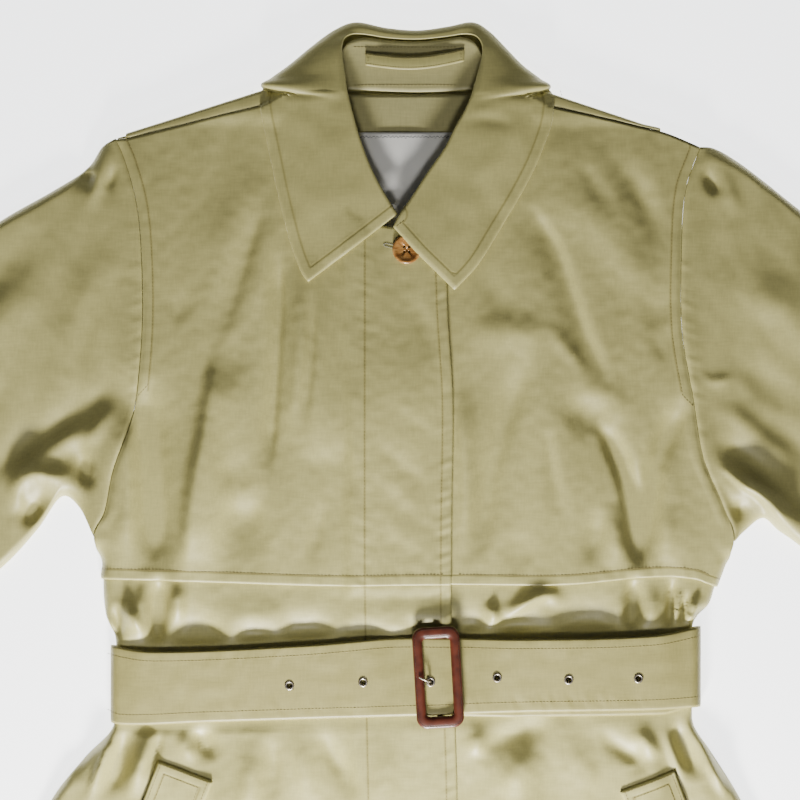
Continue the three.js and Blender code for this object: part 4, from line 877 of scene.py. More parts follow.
def thread_material(name, colour):
    """Twisted cotton thread with a slight gloss."""
    material, tree, shader = new_material(name, 0.45)
    twist = noise(tree, object_coordinates(tree), 900.0, 2.0)
    darker = tuple(0.72 * part for part in colour)
    put_on(tree, shader, colour_ramp(tree, twist, (0.35, darker), (0.65, colour)), twist, 0.3, 0.0001)
    return material


khaki_thread = thread_material("khaki_thread", (0.33, 0.27, 0.10))


def even_line(points, step=1.5):
    """Points at even distances along a line."""
    points = np.array(points, float)
    run = np.concatenate([[0], np.cumsum(np.linalg.norm(np.diff(points, axis=0), axis=1))])
    places = np.linspace(0, run[-1], max(2, int(run[-1] / step) + 1))
    return np.stack([np.interp(places, run, column) for column in points.T], 1)


def sew(
    name, lines, trees, thread=khaki_thread, pitch=2.8, radius=0.24, lift=0.1, length=0.8, slot="gabardine",
):
    """Rows of stitches along lines given across the cloth, laid on the cloth below them."""
    points, edges = [], []
    for line in lines:
        line = even_line(line)
        height = top_of(trees, line[:, 0], line[:, 1])
        start = len(points)
        points.extend(zip(line[:, 0] * MM, line[:, 1] * MM, (height + lift) * MM))
        edges.extend((i, i + 1) for i in range(start, len(points) - 1))
    mesh = bpy.data.meshes.new(name + "_lines")
    mesh.from_pydata(points, edges, [])
    guide = bpy.data.objects.new(name + "_lines", mesh)
    bpy.context.scene.collection.objects.link(guide)
    modifier = guide.modifiers.new("stitches", "NODES")
    modifier.node_group = stitches_tree
    inputs = [item for item in stitches_tree.interface.items_tree if item.in_out == "INPUT"]
    sockets = {item.name: item.identifier for item in inputs}
    modifier[sockets["Pitch"]] = pitch * MM
    modifier[sockets["Thread radius"]] = radius * MM
    modifier[sockets["Stitch length"]] = pitch * length * MM
    modifier[sockets["Thread"]] = thread
    depsgraph = bpy.context.evaluated_depsgraph_get()
    made = bpy.data.meshes.new_from_object(guide.evaluated_get(depsgraph))
    bpy.data.objects.remove(guide)
    made.name = name
    piece = bpy.data.objects.new(name, made)
    bpy.context.scene.collection.objects.link(piece)
    coat_piece(piece, slot=slot)
    return piece


def line_up(x_at, start, end, count=120):
    """A line up the coat whose place across is read from a function of the height."""
    y = np.linspace(start, end, count)
    return np.stack([x_at(y), y], 1)


front_base, front_off, front_out = body_grid(
    FRONT_ROWS, "right", 74, LAP_INSETS, lambda x, y, row: lap_layers(x, y) * LAYER,
)
front_shape = front_base + front_off
front_x, front_y = front_base[..., 0], front_base[..., 1]
front_relief = front_surface(front_x, front_y)[..., None]
right_front = cloth_shell(
    "right_front", front_shape + front_out * (CLOTH + front_relief), front_shape, khaki,
    seams=[front_edge_x(front_y) - front_x - STITCH_INSET, front_x - read_off(FLY, front_y)],
)
coat_piece(right_front, "front_right")

left_base, left_out = body_grid(
    FRONT_ROWS, "left", 84, UNDER_INSETS, lambda x, y, row: np.zeros_like(x),
)[::2]
left_front = cloth_shell("left_front", left_base + left_out * CLOTH, left_base, khaki)
coat_piece(left_front, "front_left")


def edge_line(start, end):
    return line_up(lambda y: front_edge_x(y) - STITCH_INSET, start, end)


def fly_line(start, end):
    return line_up(lambda y: read_off(FLY, y), start, end)


HEM_STITCHES = HEM_Y + 32
right_sewn = sew("right_front_stitches", [
    edge_line(HEM_Y + 3, 64), fly_line(HEM_STITCHES, 64), [(-330, HEM_STITCHES), (44, HEM_STITCHES)],
], tree_of(right_front))
left_sewn = sew("left_front_stitches", [[(54, HEM_STITCHES), (330, HEM_STITCHES)]], tree_of(left_front))

# Capes. A storm flap over each front, sewn in at the shoulder and the armhole, with a hem that
# is turned, stitched and hangs free over the waist.

CAPE_LIFT = 0.5
FREE_HEM = 55


def cape_offset(side):
    """Layers beneath a cape, with its free hem standing a little off the front in soft waves."""
    def offset(x, y, row):
        above = y - read_off(CAPE_HEM, x)
        wave = 0.5 + 0.5 * np.sin(x / 17.0 + 1.3 * np.sin(x / 41.0))
        free = (1 - ease(0, FREE_HEM, above)) * wave * CAPE_LIFT
        if side == "right":
            return (lap_layers(x, y + 14) + 1) * LAYER + free
        clear = ease(2, 22, x - front_edge_x(y))
        return LAYER + free * clear
    return offset


def armhole_distance(rail, x, y):
    """Distance to the armhole seam, above zero on the body."""
    return (read_off(rail["side"], y) - x) * rail["sign"]


def cape_surface(side, x, y):
    """Fine relief of a cape: stitched edges, puckers, and the groove beside the armhole."""
    hem = y - read_off(CAPE_HEM, x)
    arm = armhole_distance(RAILS[side], x, y)
    above_armpit = ease(112, 125, y)
    relief = stitched_band(hem, STITCH_INSET, 0.15) + puckers(x, hem - 4, 21, 8.0, 0.34)
    relief = relief + above_armpit * stitched_band(arm, STITCH_INSET, 0.4)
    relief = relief - above_armpit * 0.8 * np.exp(-((arm / 1.6) ** 2))
    if side == "right":
        relief = relief + front_surface(x, y)
    return relief


for side, panel_steps, insets in (("right", 76, LAP_INSETS), ("left", 86, UNDER_INSETS)):
    rail = RAILS[side]
    base, off, out = body_grid(CAPE_ROWS, side, panel_steps, insets, cape_offset(side))
    x, y = base[..., 0], base[..., 1]
    relief = cape_surface(side, x, y)[..., None]
    arm = armhole_distance(rail, x, y)
    arm_stitch = np.where((y > 222) & (y < 436), arm - STITCH_INSET, FAR)
    seams = [y - read_off(CAPE_HEM, x) - STITCH_INSET, arm_stitch]
    if side == "right":
        seams[1] = np.where(arm < 40, arm_stitch, front_edge_x(y) - x - STITCH_INSET)
        seams.append(x - read_off(FLY, y))
    shape = base + off
    cape = cloth_shell(side + "_cape", shape + out * (CLOTH + relief), shape, khaki, seams=seams)
    coat_piece(cape, "cape_" + side)
    sign = rail["sign"]
    arm_low, arm_high = (229.0, 425.0) if side == "right" else (220.5, 418.0)
    inside = line_up(lambda height: read_off(rail["side"], height) - sign * STITCH_INSET, arm_low, arm_high)
    turn = (float(read_off(rail["side"], arm_low - 8)) - sign * 1.5, arm_low - 8)
    hem_from, hem_to = (-236, 33) if side == "right" else (48, 246)
    hem_x = np.linspace(hem_from, hem_to, 150)
    lines = [
        np.concatenate([[turn], inside]),
        np.stack([hem_x, read_off(CAPE_HEM, hem_x) + STITCH_INSET], 1),
    ]
    if side == "right":
        lines += [edge_line(73, 318), fly_line(73, 334)]
    sewn = sew(side + "_cape_stitches", lines, tree_of(cape))

# The back is made now, because its turned shoulders meet the seams of the capes. Its sheet lies on
# the surface, and at each shoulder a band rises from it and folds forward to the seam.

back_sheet = cloth_shell("back_sheet", back_grid(CLOTH), back_grid(0), paler_khaki_painted_light)
shoulders = []
for side, ((from_x, from_y), (to_x, to_y)) in SHOULDER_FOLDS.items():
    t = np.linspace(0, 1, 48)
    x = mix(from_x, to_x, t)
    insets = LAP_INSETS if side == "right" else UNDER_INSETS
    edge = body_grid(np.array([2.0]), side, 76, insets, cape_offset(side))
    seam = (edge[0] + edge[1])[0]
    order = np.argsort(seam[:, 0])
    seam_y = np.interp(x, seam[order, 0], seam[order, 1]) + GAP
    seam_z = np.interp(x, seam[order, 0], seam[order, 2]) + CLOTH / 2
    fold = np.maximum(mix(from_y, to_y, t) - CLOTH / 2, seam_y + 2)
    low = back_lift(x, fold - 8) + CLOTH / 2
    start = np.minimum(read_off(BACK_TOP, x) + 0.2, fold - 1.2)
    profile = [
        (start, low), (mix(start, fold, 0.6), low), (fold - 0.5, mix(low, seam_z, 0.2)),
        (fold, mix(low, seam_z, 0.55)), (fold - 0.7, seam_z - 0.6), (mix(fold - 0.7, seam_y, 0.35), seam_z),
        (mix(fold, seam_y, 0.75), seam_z), (seam_y + 0.6, seam_z - 0.25), (seam_y, seam_z - 0.9),
    ]
    middle = np.stack([np.stack([x, y, z], -1) for y, z in profile], 1)
    fine = np.stack([smooth_path(section, 4) for section in middle])
    fine[..., 2] += rumple(fine[..., 0], fine[..., 1], 41, 30, 0.15)
    outer, inner = wall_grids(fine, CLOTH)
    shoulders.append(cloth_shell("shoulder_" + side, outer, inner, khaki))
back = join_pieces("back_panel", [back_sheet, *shoulders])
coat_piece(back, "back")

# Neck facing, label and hanger loop. A plain facing lies inside the back of the neck. A white
# woven label, left bare, is sewn on it, and a folded strip of the cloth makes the loop above.


def flat_patch(name, x_range, y_range, cells, underside, thickness, material, relief):
    """A patch that lies on the back, with its own relief."""
    x, y = np.meshgrid(np.linspace(*x_range, cells[0]), np.linspace(*y_range, cells[1]))
    z = back_lift(x, y) + underside
    rise = relief(x, y)
    inner = np.stack([x, y, z + rise], -1)
    outer = np.stack([x, y, z + rise + thickness], -1)
    return cloth_shell(name, outer, inner, material)


facing = flat_patch(
    "neck_facing_cloth", (-70, 78), (330, 461), (60, 54), LAYER, CLOTH, paler_khaki_painted_light,
    lambda x, y: np.zeros_like(x),
)
coat_piece(facing, "neck_facing")


def woven_label_material():
    """White damask weave: fine rows across, a little uneven, with a soft sheen."""
    material, tree, shader = new_material("white_woven_label", 0.6, specular=0.35)
    shader.inputs["Sheen Weight"].default_value = 0.3
    coordinates = object_coordinates(tree)
    rows = add_node(tree, "ShaderNodeTexWave", {
        "Vector": coordinates, "Scale": 520.0, "Distortion": 1.2, "Detail": 1.0,
    }, bands_direction="Y")
    grain = noise(tree, coordinates, 60.0, 3.0)
    colour = colour_ramp(tree, grain, (0.3, (0.90, 0.89, 0.84)), (0.7, (0.95, 0.94, 0.90)))
    put_on(tree, shader, colour, rows.outputs["Fac"], 0.35, 0.0001)
    return material


label = flat_patch(
    "woven_label_cloth", (-36, 44), (352, 431), (40, 40), 2 * LAYER, 0.8, woven_label_material(),
    lambda x, y: 0.12 + 0.1 * np.sin(x / 9.0 + y / 21.0),
)
coat_piece(label, "label", slot="woven_label")
label_trees = tree_of(label)
ZIGZAG_Y = 427.6
ZIGZAG_SWING = 1.1
zigzag_x = np.arange(-33, 43, 1.5)
zigzag = np.stack([zigzag_x, ZIGZAG_Y + ZIGZAG_SWING * (-1.0) ** np.arange(len(zigzag_x))], 1)
navy_thread = thread_material("dark_thread", (0.05, 0.055, 0.09))
label_sewn = sew("label_zigzag", [zigzag], label_trees, navy_thread, 1.7, 0.2, 0.05, 0.95)

LOOP_FROM = (-27.5, 490.0)
LOOP_TO = (51.0, 493.0)
LOOP_SAG = 5.0
LOOP_HEIGHT = 7.75
LOOP_SLOPE = 0.045
LOOP_ARCH = 1.1
t = np.linspace(0, 1, 50)
loop_x = mix(LOOP_FROM[0], LOOP_TO[0], t)
loop_y = mix(LOOP_FROM[1], LOOP_TO[1], t) - np.sin(t * math.pi) * LOOP_SAG
free = ease(0.08, 0.2, t) * (1 - ease(0.8, 0.92, t))
rows = []
for across in np.linspace(-5, 5, 9):
    y = loop_y + across
    roundness = 0.35 * (1 - (across / 5) ** 2)
    z = LOOP_HEIGHT + (y - LOOP_FROM[1]) * LOOP_SLOPE + free * LOOP_ARCH + roundness
    rows.append(np.stack([loop_x, y, z], -1))
outer, inner = wall_grids(np.stack(rows, 1), 0.9)
hanger = cloth_shell("hanger_loop_cloth", outer, inner, khaki)
coat_piece(hanger, "hanger_loop")
loop_trees = tree_of(hanger)
loop_lines = [np.stack([loop_x, loop_y + across], 1) for across in (-3.6, 3.6)]
for end_x, end_y in ((LOOP_FROM[0] + 2.0, LOOP_FROM[1] - 0.4), (LOOP_TO[0] - 2.0, LOOP_TO[1] - 0.4)):
    for lean in (1.4, -1.4):
        loop_lines.append([(end_x - lean, end_y - 3.6), (end_x + lean, end_y + 3.6)])
loop_sewn = sew("loop_stitches", loop_lines, loop_trees, khaki_thread, 2.0, 0.2, 0.08)

# Sleeves. Each is set into the armhole and lies folded flat, its upper half over its under half,
# with the deep creases that an elbow and an armpit leave.

# Sections from the armhole to the cuff: outer fold x and y, inner fold x and y
RIGHT_SLEEVE = [
    (-227, 426, -244.5, 107.6), (-239, 419, -257, 131), (-252, 402, -272, 139), (-280, 384, -291, 113),
    (-320, 361, -320, 82), (-372, 325, -362, 51), (-430, 275, -404, 21), (-490, 215, -446, -9),
    (-550, 148, -485, -37), (-605, 84, -519, -61), (-650, 31, -548, -79),
]
LEFT_SLEEVE = [
    (240, 419, 267, 104), (252, 418, 276, 112), (270, 409, 291, 122), (294, 391, 304, 112),
    (320, 370, 322, 99), (372, 330, 364, 64), (430, 278, 405, 29), (490, 217, 446, -5),
    (550, 149, 485, -35), (605, 84, 519, -60), (650, 31, 548, -79),
]
RIGHT_SLEEVE_FOLDS = [
    (-225, 405, -236, 380, 9, -1.6), (-262, 396, -246, 390, 8, -2), (-305, 158, -258, 150, 12, 4.2),
    (-262, 178, -246, 150, 9, -2.4), (-300, 122, -292, 134, 9, -2), (-300, 300, -420, 190, 24, 3),
    (-330, 190, -450, 100, 20, 3.4), (-400, 230, -520, 110, 16, -2), (-450, 60, -540, 0, 16, 2.6),
    (-540, 130, -600, 50, 16, 2.4),
]
LEFT_SLEEVE_FOLDS = [
    (243, 405, 258, 385, 9, -1.6), (250, 157, 330, 108, 12, 5), (262, 128, 296, 133, 8, -2.6),
    (290, 200, 400, 130, 16, -2.2), (300, 310, 420, 200, 24, 3.2), (330, 190, 460, 90, 18, 3),
    (420, 230, 520, 120, 16, -2), (450, 50, 540, -10, 16, 2.6), (530, 140, 600, 50, 16, 2.4),
]
RIGHT_SLEEVE_CREASES = [
    ([(-224, 408), (-230, 396), (-236, 384)], 4, 4, -1.4),
    ([(-232, 412), (-242, 392), (-250, 366)], 7, 5, 1.2),
    ([(-262, 394), (-252, 397), (-244, 391)], 4, 4, -1.8),
    ([(-232, 340), (-250, 300), (-262, 250)], 14, 12, 0.9),
    ([(-218, 232), (-246, 214), (-300, 180), (-340, 150)], 9, 12, -1.7),
    ([(-216, 214), (-236, 200), (-256, 172)], 8, 8, 1.8),
    ([(-224, 190), (-262, 186), (-302, 156), (-330, 128)], 8, 10, 1.6),
    ([(-246, 176), (-252, 158), (-240, 148)], 6, 7, -2.4),
    ([(-228, 176), (-234, 156), (-238, 134)], 4, 6, 1.8),
    ([(-262, 160), (-272, 156), (-290, 158), (-302, 150)], 6, 6, 2.2),
    ([(-296, 160), (-306, 142), (-304, 124)], 5, 8, 1.8),
    ([(-280, 148), (-296, 128), (-304, 112)], 7, 6, -2.2),
    ([(-302, 260), (-330, 232), (-372, 210)], 12, 10, 0.9),
    ([(-280, 350), (-320, 320), (-360, 270)], 14, 16, -1.2),
    ([(-380, 250), (-430, 210), (-470, 160)], 10, 16, 1.6),
    ([(-350, 120), (-400, 90), (-450, 40)], 10, 12, 1.6),
    ([(-470, 150), (-520, 90), (-560, 20)], 12, 14, -1.5),
]
LEFT_SLEEVE_CREASES = [
    ([(240, 404), (248, 392), (256, 380)], 4, 5, -1.5),
    ([(250, 408), (262, 388), (272, 360)], 6, 8, 1.0),
    ([(244, 158), (251, 163), (262, 159), (274, 149), (286, 142), (302, 127), (322, 108)], 12, 3.2, 4.4),
    ([(254, 150), (262, 132), (266, 112)], 5, 6, -1.6),
    ([(276, 142), (270, 128), (266, 114)], 5, 5, -1.6),
    ([(244, 176), (258, 180), (282, 168), (310, 140)], 8, 10, -1.5),
    ([(238, 214), (262, 208), (290, 186), (330, 160)], 9, 8, 1.4),
    ([(234, 240), (250, 232), (270, 236)], 4, 5, 0.9),
    ([(262, 262), (300, 226), (340, 200)], 14, 12, -1.2),
    ([(290, 130), (298, 116), (310, 108)], 5, 6, 1.6),
    ([(256, 320), (300, 290), (340, 250)], 14, 16, 1.2),
    ([(340, 320), (390, 270), (440, 200)], 14, 12, -1.3),
    ([(360, 180), (410, 140), (450, 90)], 12, 14, 1.6),
    ([(450, 190), (510, 120), (560, 40)], 12, 14, -1.5),
]
SLEEVE_INSETS = np.array([0, 0, 0.13, 0.28, 0.42, 0.57, 0.71, 0.86, 1.0]) * FLAT_INSET
SLEEVE_FOLD_SHARE = 1.3
SLEEVE_CREASE_SHARE = 1.9


def sleeve_grid(rail, sections, folds, creases, along_cells, across_cells):
    """Points and outward directions of the upper half of a sleeve."""
    half = along_cells // 2
    count = np.concatenate([np.linspace(0, 4, half)[:-1], np.linspace(4, 10, half + 1)])
    numbers = np.arange(len(sections))
    top_x, top_y, under_x, under_y = (
        read_off(np.stack([numbers, column], 1), count) for column in np.array(sections, float).T
    )
    width = np.hypot(under_x - top_x, under_y - top_y)
    first = (read_off(rail["side"], sections[0][1]), sections[0][1])
    last = (read_off(rail["side"], sections[0][3]), sections[0][3])
    angle = np.radians([column[0] for column in TURNED_COLUMNS])[None, :]
    at_foot = np.array([column[1] for column in TURNED_COLUMNS])[None, :]
    turn = np.minimum(count / 2, 1)[:, None]

    def place(share):
        seam_y = mix(first[1], last[1], share)
        seam_x = read_off(rail["side"], seam_y)
        bend = (seam_x - mix(first[0], last[0], share)) * np.maximum(0, 1 - count / 4)[:, None]
        gap = rail["sign"] * (GAP + 0.2) * np.maximum(0, 1 - count)[:, None]
        x = mix(top_x[:, None], under_x[:, None], share) + bend + gap
        y = mix(top_y[:, None], under_y[:, None], share)
        seam_height = front_bed(seam_x, seam_y) + LAYER
        rise = SLEEVE_FOLD_SHARE * fold_rise(folds, x, y)
        rise = rise + SLEEVE_CREASE_SHARE * crease_rise(creases, x, y)
        loose = FULLNESS + rise + rumple(x, y * 0.7, 5, 40, 0.4) + rumple(x, y, 6, 15, 0.07)
        high = mix(seam_height, np.maximum(loose, 3.0), ease(0, 1.6, count)[:, None])
        return x, y, high

    edge_height = [place(np.full((len(count), 1), share))[2] for share in (0.015, 0.985)]
    edges = []
    for height in edge_height:
        radius = height - 0.8
        inset = mix(SLEEVE_INSETS[None, :], CLOTH + radius * (1 - np.sin(angle)), turn)
        drop = np.where(at_foot > 0, height - EDGE_HEIGHT, radius * (1 - np.cos(angle))) * turn
        edges.append((inset, drop))
    share_top = edges[0][0] / width[:, None]
    share_under = 1 - edges[1][0][:, ::-1] / width[:, None]
    inside = mix(share_top[:, -1:], share_under[:, :1], np.linspace(0, 1, across_cells + 1)[None, 1:-1])
    share = np.concatenate([share_top, inside, share_under], 1)
    x, y, high = place(share)
    drop = np.concatenate([edges[0][1], np.zeros_like(inside), edges[1][1][:, ::-1]], 1)
    lean = np.concatenate([-angle * turn, np.zeros_like(inside), angle[:, ::-1] * turn], 1)
    across = np.stack([(under_x - top_x) / width, (under_y - top_y) / width], -1)[:, None, :]
    out = np.concatenate([across * np.sin(lean)[..., None], np.cos(lean)[..., None]], 2)
    base = np.stack([x, y, np.maximum(high - drop, EDGE_HEIGHT)], -1)
    return base, out, count[:, None]


for side, sections, folds, creases in (
    ("right", RIGHT_SLEEVE, RIGHT_SLEEVE_FOLDS, RIGHT_SLEEVE_CREASES),
    ("left", LEFT_SLEEVE, LEFT_SLEEVE_FOLDS, LEFT_SLEEVE_CREASES),
):
    rail = RAILS[side]
    base, out, count = sleeve_grid(rail, sections, folds, creases, 190, 112)
    from_seam = np.abs(armhole_distance(rail, base[..., 0], base[..., 1]))
    near = (count < 1.2) & (base[..., 1] > 100)
    seam_dip = np.where(near, 0.9 * np.exp(-((from_seam / 2.2) ** 2)), 0)
    gathers = puckers(base[..., 1], from_seam, 51, 10.0, 0.3) * (count < 2)
    height = CLOTH + (gathers - seam_dip)[..., None]
    sleeve = cloth_shell(side + "_sleeve", base + out * height, base + out * (height - CLOTH), khaki)
    coat_piece(sleeve, "sleeve_%s_top" % side)
    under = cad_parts["sleeve_%s_under" % side]
    under.data.materials.clear()
    under.data.materials.append(paler_khaki_painted_light)

# Pocket welts. A slanted strip of the same cloth lies on each front below the belt, and two lines
# of stitches all round hold it down.

WELT_HALF_WIDTH = 23.5
WELT_LENGTH = 168.0
WELT_LIFT = 0.7
WELT_TOPS = {"right": (-171.6, -79.7, -1), "left": (197.8, -87.6, 1)}
WELT_RUN = (0.36, -0.933)



def welt_line(start, end, half_width):
    """A closed line of stitches: how far down the welt it starts and ends, and half its width."""
    corners = [(start, -1), (start, 1), (end, 1), (end, -1), (start, -1)]
    return np.array([(down, aside * half_width) for down, aside in corners])


front_trees = tree_of(right_front, left_front)
for side, (top_x, top_y, sign) in WELT_TOPS.items():
    run = np.array([WELT_RUN[0] * sign, WELT_RUN[1]])
    across = np.array([-run[1], run[0]])
    down = np.linspace(0, WELT_LENGTH, 66)[:, None]
    aside = np.linspace(-WELT_HALF_WIDTH, WELT_HALF_WIDTH, 24)[None, :]
    x = top_x + run[0] * down + across[0] * aside
    y = top_y + run[1] * down + across[1] * aside
    z = top_of(front_trees, x, y) + WELT_LIFT
    inset = np.minimum(np.minimum(down, WELT_LENGTH - down), WELT_HALF_WIDTH - np.abs(aside))
    relief = 0.5 * ease(-0.5, 2.5, inset) + 0.12 * np.sin(down / 6.0) * ease(9, 2, inset)
    inner = np.stack([x, y, z], -1)
    outer = inner + np.stack([0 * x, 0 * x, CLOTH - 0.3 + relief], -1)
    welt = cloth_shell(side + "_pocket_welt", outer, inner, khaki, seams=[inset - STITCH_INSET])
    coat_piece(welt, "pocket_welt_" + side)
    lines = [
        np.array([top_x, top_y]) + line[:, :1] * run + line[:, 1:] * across
        for line in (welt_line(2.4, WELT_LENGTH - 3, 20), welt_line(9, WELT_LENGTH - 9, 14.5))
    ]
    sewn = sew(side + "_welt_stitches", lines, tree_of(welt))

# Collar. A stand is sewn round the neck, and the fall is sewn to its top, rolls over it and lies
# on the capes in two long points, stitched round its edge.

COLLAR_CLOTH = 1.6
# Sections from the wearer's right point round the neck to the left point: where the fall rolls,
# a place halfway down it or on its turn to the underside, its outer edge, and whether it wraps
COLLAR_FALL = [
    ((-2.4, 365.5, 15.4), (-40, 336.5, 14.4), (-73.5, 311.6, 11.4), False),
    ((-6, 371, 15.6), (-48, 349, 14.8), (-79.5, 321, 11.4), False),
    ((-15.6, 387, 16.2), (-58, 370, 15), (-88, 345, 11.4), False),
    ((-25, 406, 16.6), (-66, 397, 15.2), (-97, 381, 11.4), False),
    ((-33, 428, 16.6), (-73, 425, 15), (-105, 419, 11), False),
    ((-38, 446, 16.4), (-80, 446, 14.8), (-110.5, 446, 11.4), False),
    ((-41, 458, 16.2), (-84, 459, 14.4), (-111.5, 459, 11.2), False),
    ((-43, 467, 15.8), (-110, 467.5, 8), (-108.5, 466, 4.4), True),
    ((-44.5, 479, 15), (-103, 474, 6.4), (-98, 461, 0.9), True),
    ((-46.5, 492, 14), (-88, 485, 5.6), (-84, 454, 0.9), True),
    ((-46, 503, 12), (-70, 500, 5), (-68, 450, 0.9), True),
    ((-41, 509, 9), (-52, 513, 4.4), (-52, 449, 0.8), True),
    ((-30, 510, 7.6), (-35, 519, 4), (-35, 448, 0.8), True),
    ((-9, 507, 7.2), (-11, 514.5, 4), (-11, 447, 0.8), True),
    ((14, 506, 7.2), (14, 512.5, 4), (14, 447, 0.8), True),
    ((36, 508, 7.4), (38, 515.5, 4), (38, 447, 0.8), True),
    ((51, 510, 8), (58, 519, 4.2), (56, 448, 0.8), True),
    ((61, 508, 9.6), (71, 512, 4.6), (70, 449, 0.8), True),
    ((66, 500, 12), (84, 499, 5), (84, 451, 0.8), True),
    ((65, 488, 13.6), (98, 484.5, 5.6), (96, 454, 0.9), True),
    ((62, 477, 14.8), (112, 473.5, 6.4), (108, 461, 0.9), True),
    ((59, 466, 15.6), (119.5, 466.5, 8), (118.5, 465, 4.4), True),
    ((56, 457, 16.2), (95, 458, 14.4), (122.5, 458, 11.2), False),
    ((51.5, 447, 16.6), (92, 446, 14.8), (122, 445, 11.4), False),
    ((45, 436, 16.8), (88, 432, 15), (118, 429, 11), False),
    ((36, 418, 16.8), (78, 409, 15.2), (108, 404, 11.4), False),
    ((22, 398, 16.8), (66, 386, 15.4), (95, 379, 11.6), False),
    ((9.6, 379, 17), (52, 361, 16), (80, 354, 12.4), False),
    ((0, 365, 17.2), (36, 343, 17), (62, 325, 14.6), False),
    ((-5, 355, 17.4), (13, 335, 17.4), (43.5, 305, 15.4), False),
]
COLLAR_STAND = [
    ((-44, 372, 11), (-16, 382, 13.6)), ((-58, 400, 10.4), (-29, 407, 14)),
    ((-66, 425, 10), (-38, 428, 14)), ((-68, 445, 8.6), (-43, 450, 13.6)),
    ((-64, 459, 6.6), (-47, 470, 12.6)), ((-54, 464.5, 5.2), (-49, 486, 11)),
    ((-42, 466, 4.6), (-43, 501, 8.6)), ((-30, 465.6, 4.6), (-30, 506.4, 6.8)),
    ((-10, 464.6, 4.6), (-10, 504.6, 6.4)), ((14, 464, 4.6), (14, 503.6, 6.4)),
    ((36, 464.6, 4.6), (36, 505.4, 6.6)), ((48, 465.6, 4.6), (50, 507, 7.2)),
    ((60, 466, 4.6), (61, 501, 9)), ((70, 464.5, 5.2), (67, 484, 11)), ((79, 459, 6.6), (65, 468, 12.6)),
    ((82, 445, 10.2), (60, 452, 13.6)), ((79, 425, 10), (52, 434, 14)), ((70, 400, 10.4), (37, 408, 14.2)),
    ((57, 378, 11.4), (24, 388, 14.4)), ((40, 362, 13), (13, 373, 14.6)),
]
COLLAR_CREASES = [
    ([(45, 437), (70, 441), (98, 434)], 5, 6, -1.0),
    ([(-42, 470), (-60, 462), (-84, 452)], 8, 8, 0.7),
    ([(-60, 400), (-76, 372), (-82, 345)], 10, 10, 0.6),
    ([(60, 400), (70, 372), (66, 345)], 10, 8, -0.6),
]
TURN_RADIUS = 4.0


def centripetal(stations, steps):
    """Points of a centripetal Catmull-Rom curve through stations, steps to each stretch."""
    p = np.array(stations, float)
    p = np.concatenate([[2 * p[0] - p[1]], p, [2 * p[-1] - p[-2]]])
    points = []
    for i in range(1, len(p) - 2):
        a, b, c, d = p[i - 1:i + 3]
        k0, k1, k2 = (max(np.linalg.norm(v), 1e-6) ** 0.5 for v in (b - a, c - b, d - c))
        leave = ((b - a) / k0 - (c - a) / (k0 + k1) + (c - b) / k1) * k1
        arrive = ((c - b) / k1 - (d - b) / (k1 + k2) + (d - c) / k2) * k1
        for t in np.arange(steps) / steps:
            points.append(
                b * (2 * t**3 - 3 * t**2 + 1) + leave * (t**3 - 2 * t**2 + t)
                + c * (3 * t**2 - 2 * t**3) + arrive * (t**3 - t**2)
            )
    return np.array([*points, p[-2]])


def collar_section(roll, turn, edge, wraps):
    """Points across the fall, from its roll to its edge. A wrapped section turns under itself."""
    roll, turn, edge = (np.array(point, float) for point in (roll, turn, edge))
    if not wraps:
        return centripetal([roll, mix(roll, turn, 0.5), turn, mix(turn, edge, 0.5), edge], 10)
    over = mix(turn, roll, min(TURN_RADIUS / np.linalg.norm(turn - roll), 0.5))
    over[2] = min(turn[2] * 1.75, roll[2])
    below = mix(turn, edge, min(TURN_RADIUS / np.linalg.norm(turn - edge), 0.5))
    below[2] = min(edge[2] + 0.1, turn[2])
    return centripetal([roll, over, turn, below, edge], 10)


def smooth_sections(sections, steps):
    """More sections between the given ones, each a row of points."""
    rows, columns = sections.shape[:2]
    flat = smooth_path(sections.reshape(rows, -1), steps)
    return flat.reshape(-1, columns, 3)


def rest_on(middle, trees, clearance, mask):
    """Raises the middle points of a wall to lie clear on the pieces beneath it."""
    under = top_of(trees, middle[..., 0], middle[..., 1])
    raised = np.maximum(middle[..., 2], np.where(under > 0, under + clearance, 0))
    middle[..., 2] = np.where(mask, raised, middle[..., 2])


capes = [bpy.data.objects["right_cape"], bpy.data.objects["left_cape"]]
panel_trees = tree_of(right_front, left_front, *capes)
stand_rows = np.stack([np.linspace(seam, top, 14) for seam, top in COLLAR_STAND])
stand_middle = smooth_sections(stand_rows, 6)
stand_middle[..., 2] -= np.sin(np.linspace(0, math.pi, 14))[None, :] * 0.6
rest_on(stand_middle, panel_trees, CLOTH / 2 + 0.8, True)
stand = cloth_shell("collar_stand_cloth", *wall_grids(stand_middle, CLOTH), paler_khaki_painted_light)
coat_piece(stand, "collar_stand")
stand_sewn = sew("stand_stitches", [[(-36, y), (44, y)] for y in (469.2, 499.5)], tree_of(stand))

fall_sections = np.stack([collar_section(*section) for section in COLLAR_FALL])
fall_middle = smooth_sections(fall_sections, 7)
wraps = smooth_path([(section[3],) for section in COLLAR_FALL], 7)[:, 0]
fall_x, fall_y = fall_middle[..., 0], fall_middle[..., 1]
lying = (wraps < 0.5)[:, None]
fall_middle[..., 2] += np.where(
    lying, crease_rise(COLLAR_CREASES, fall_x, fall_y) + rumple(fall_x, fall_y, 7, 34, 0.22), 0,
)
fall_middle[..., 2] = np.maximum(fall_middle[..., 2], COLLAR_CLOTH / 2)
rest_on(fall_middle, panel_trees, COLLAR_CLOTH / 2 + 0.5, lying & (np.arange(fall_x.shape[1]) > 4)[None, :])

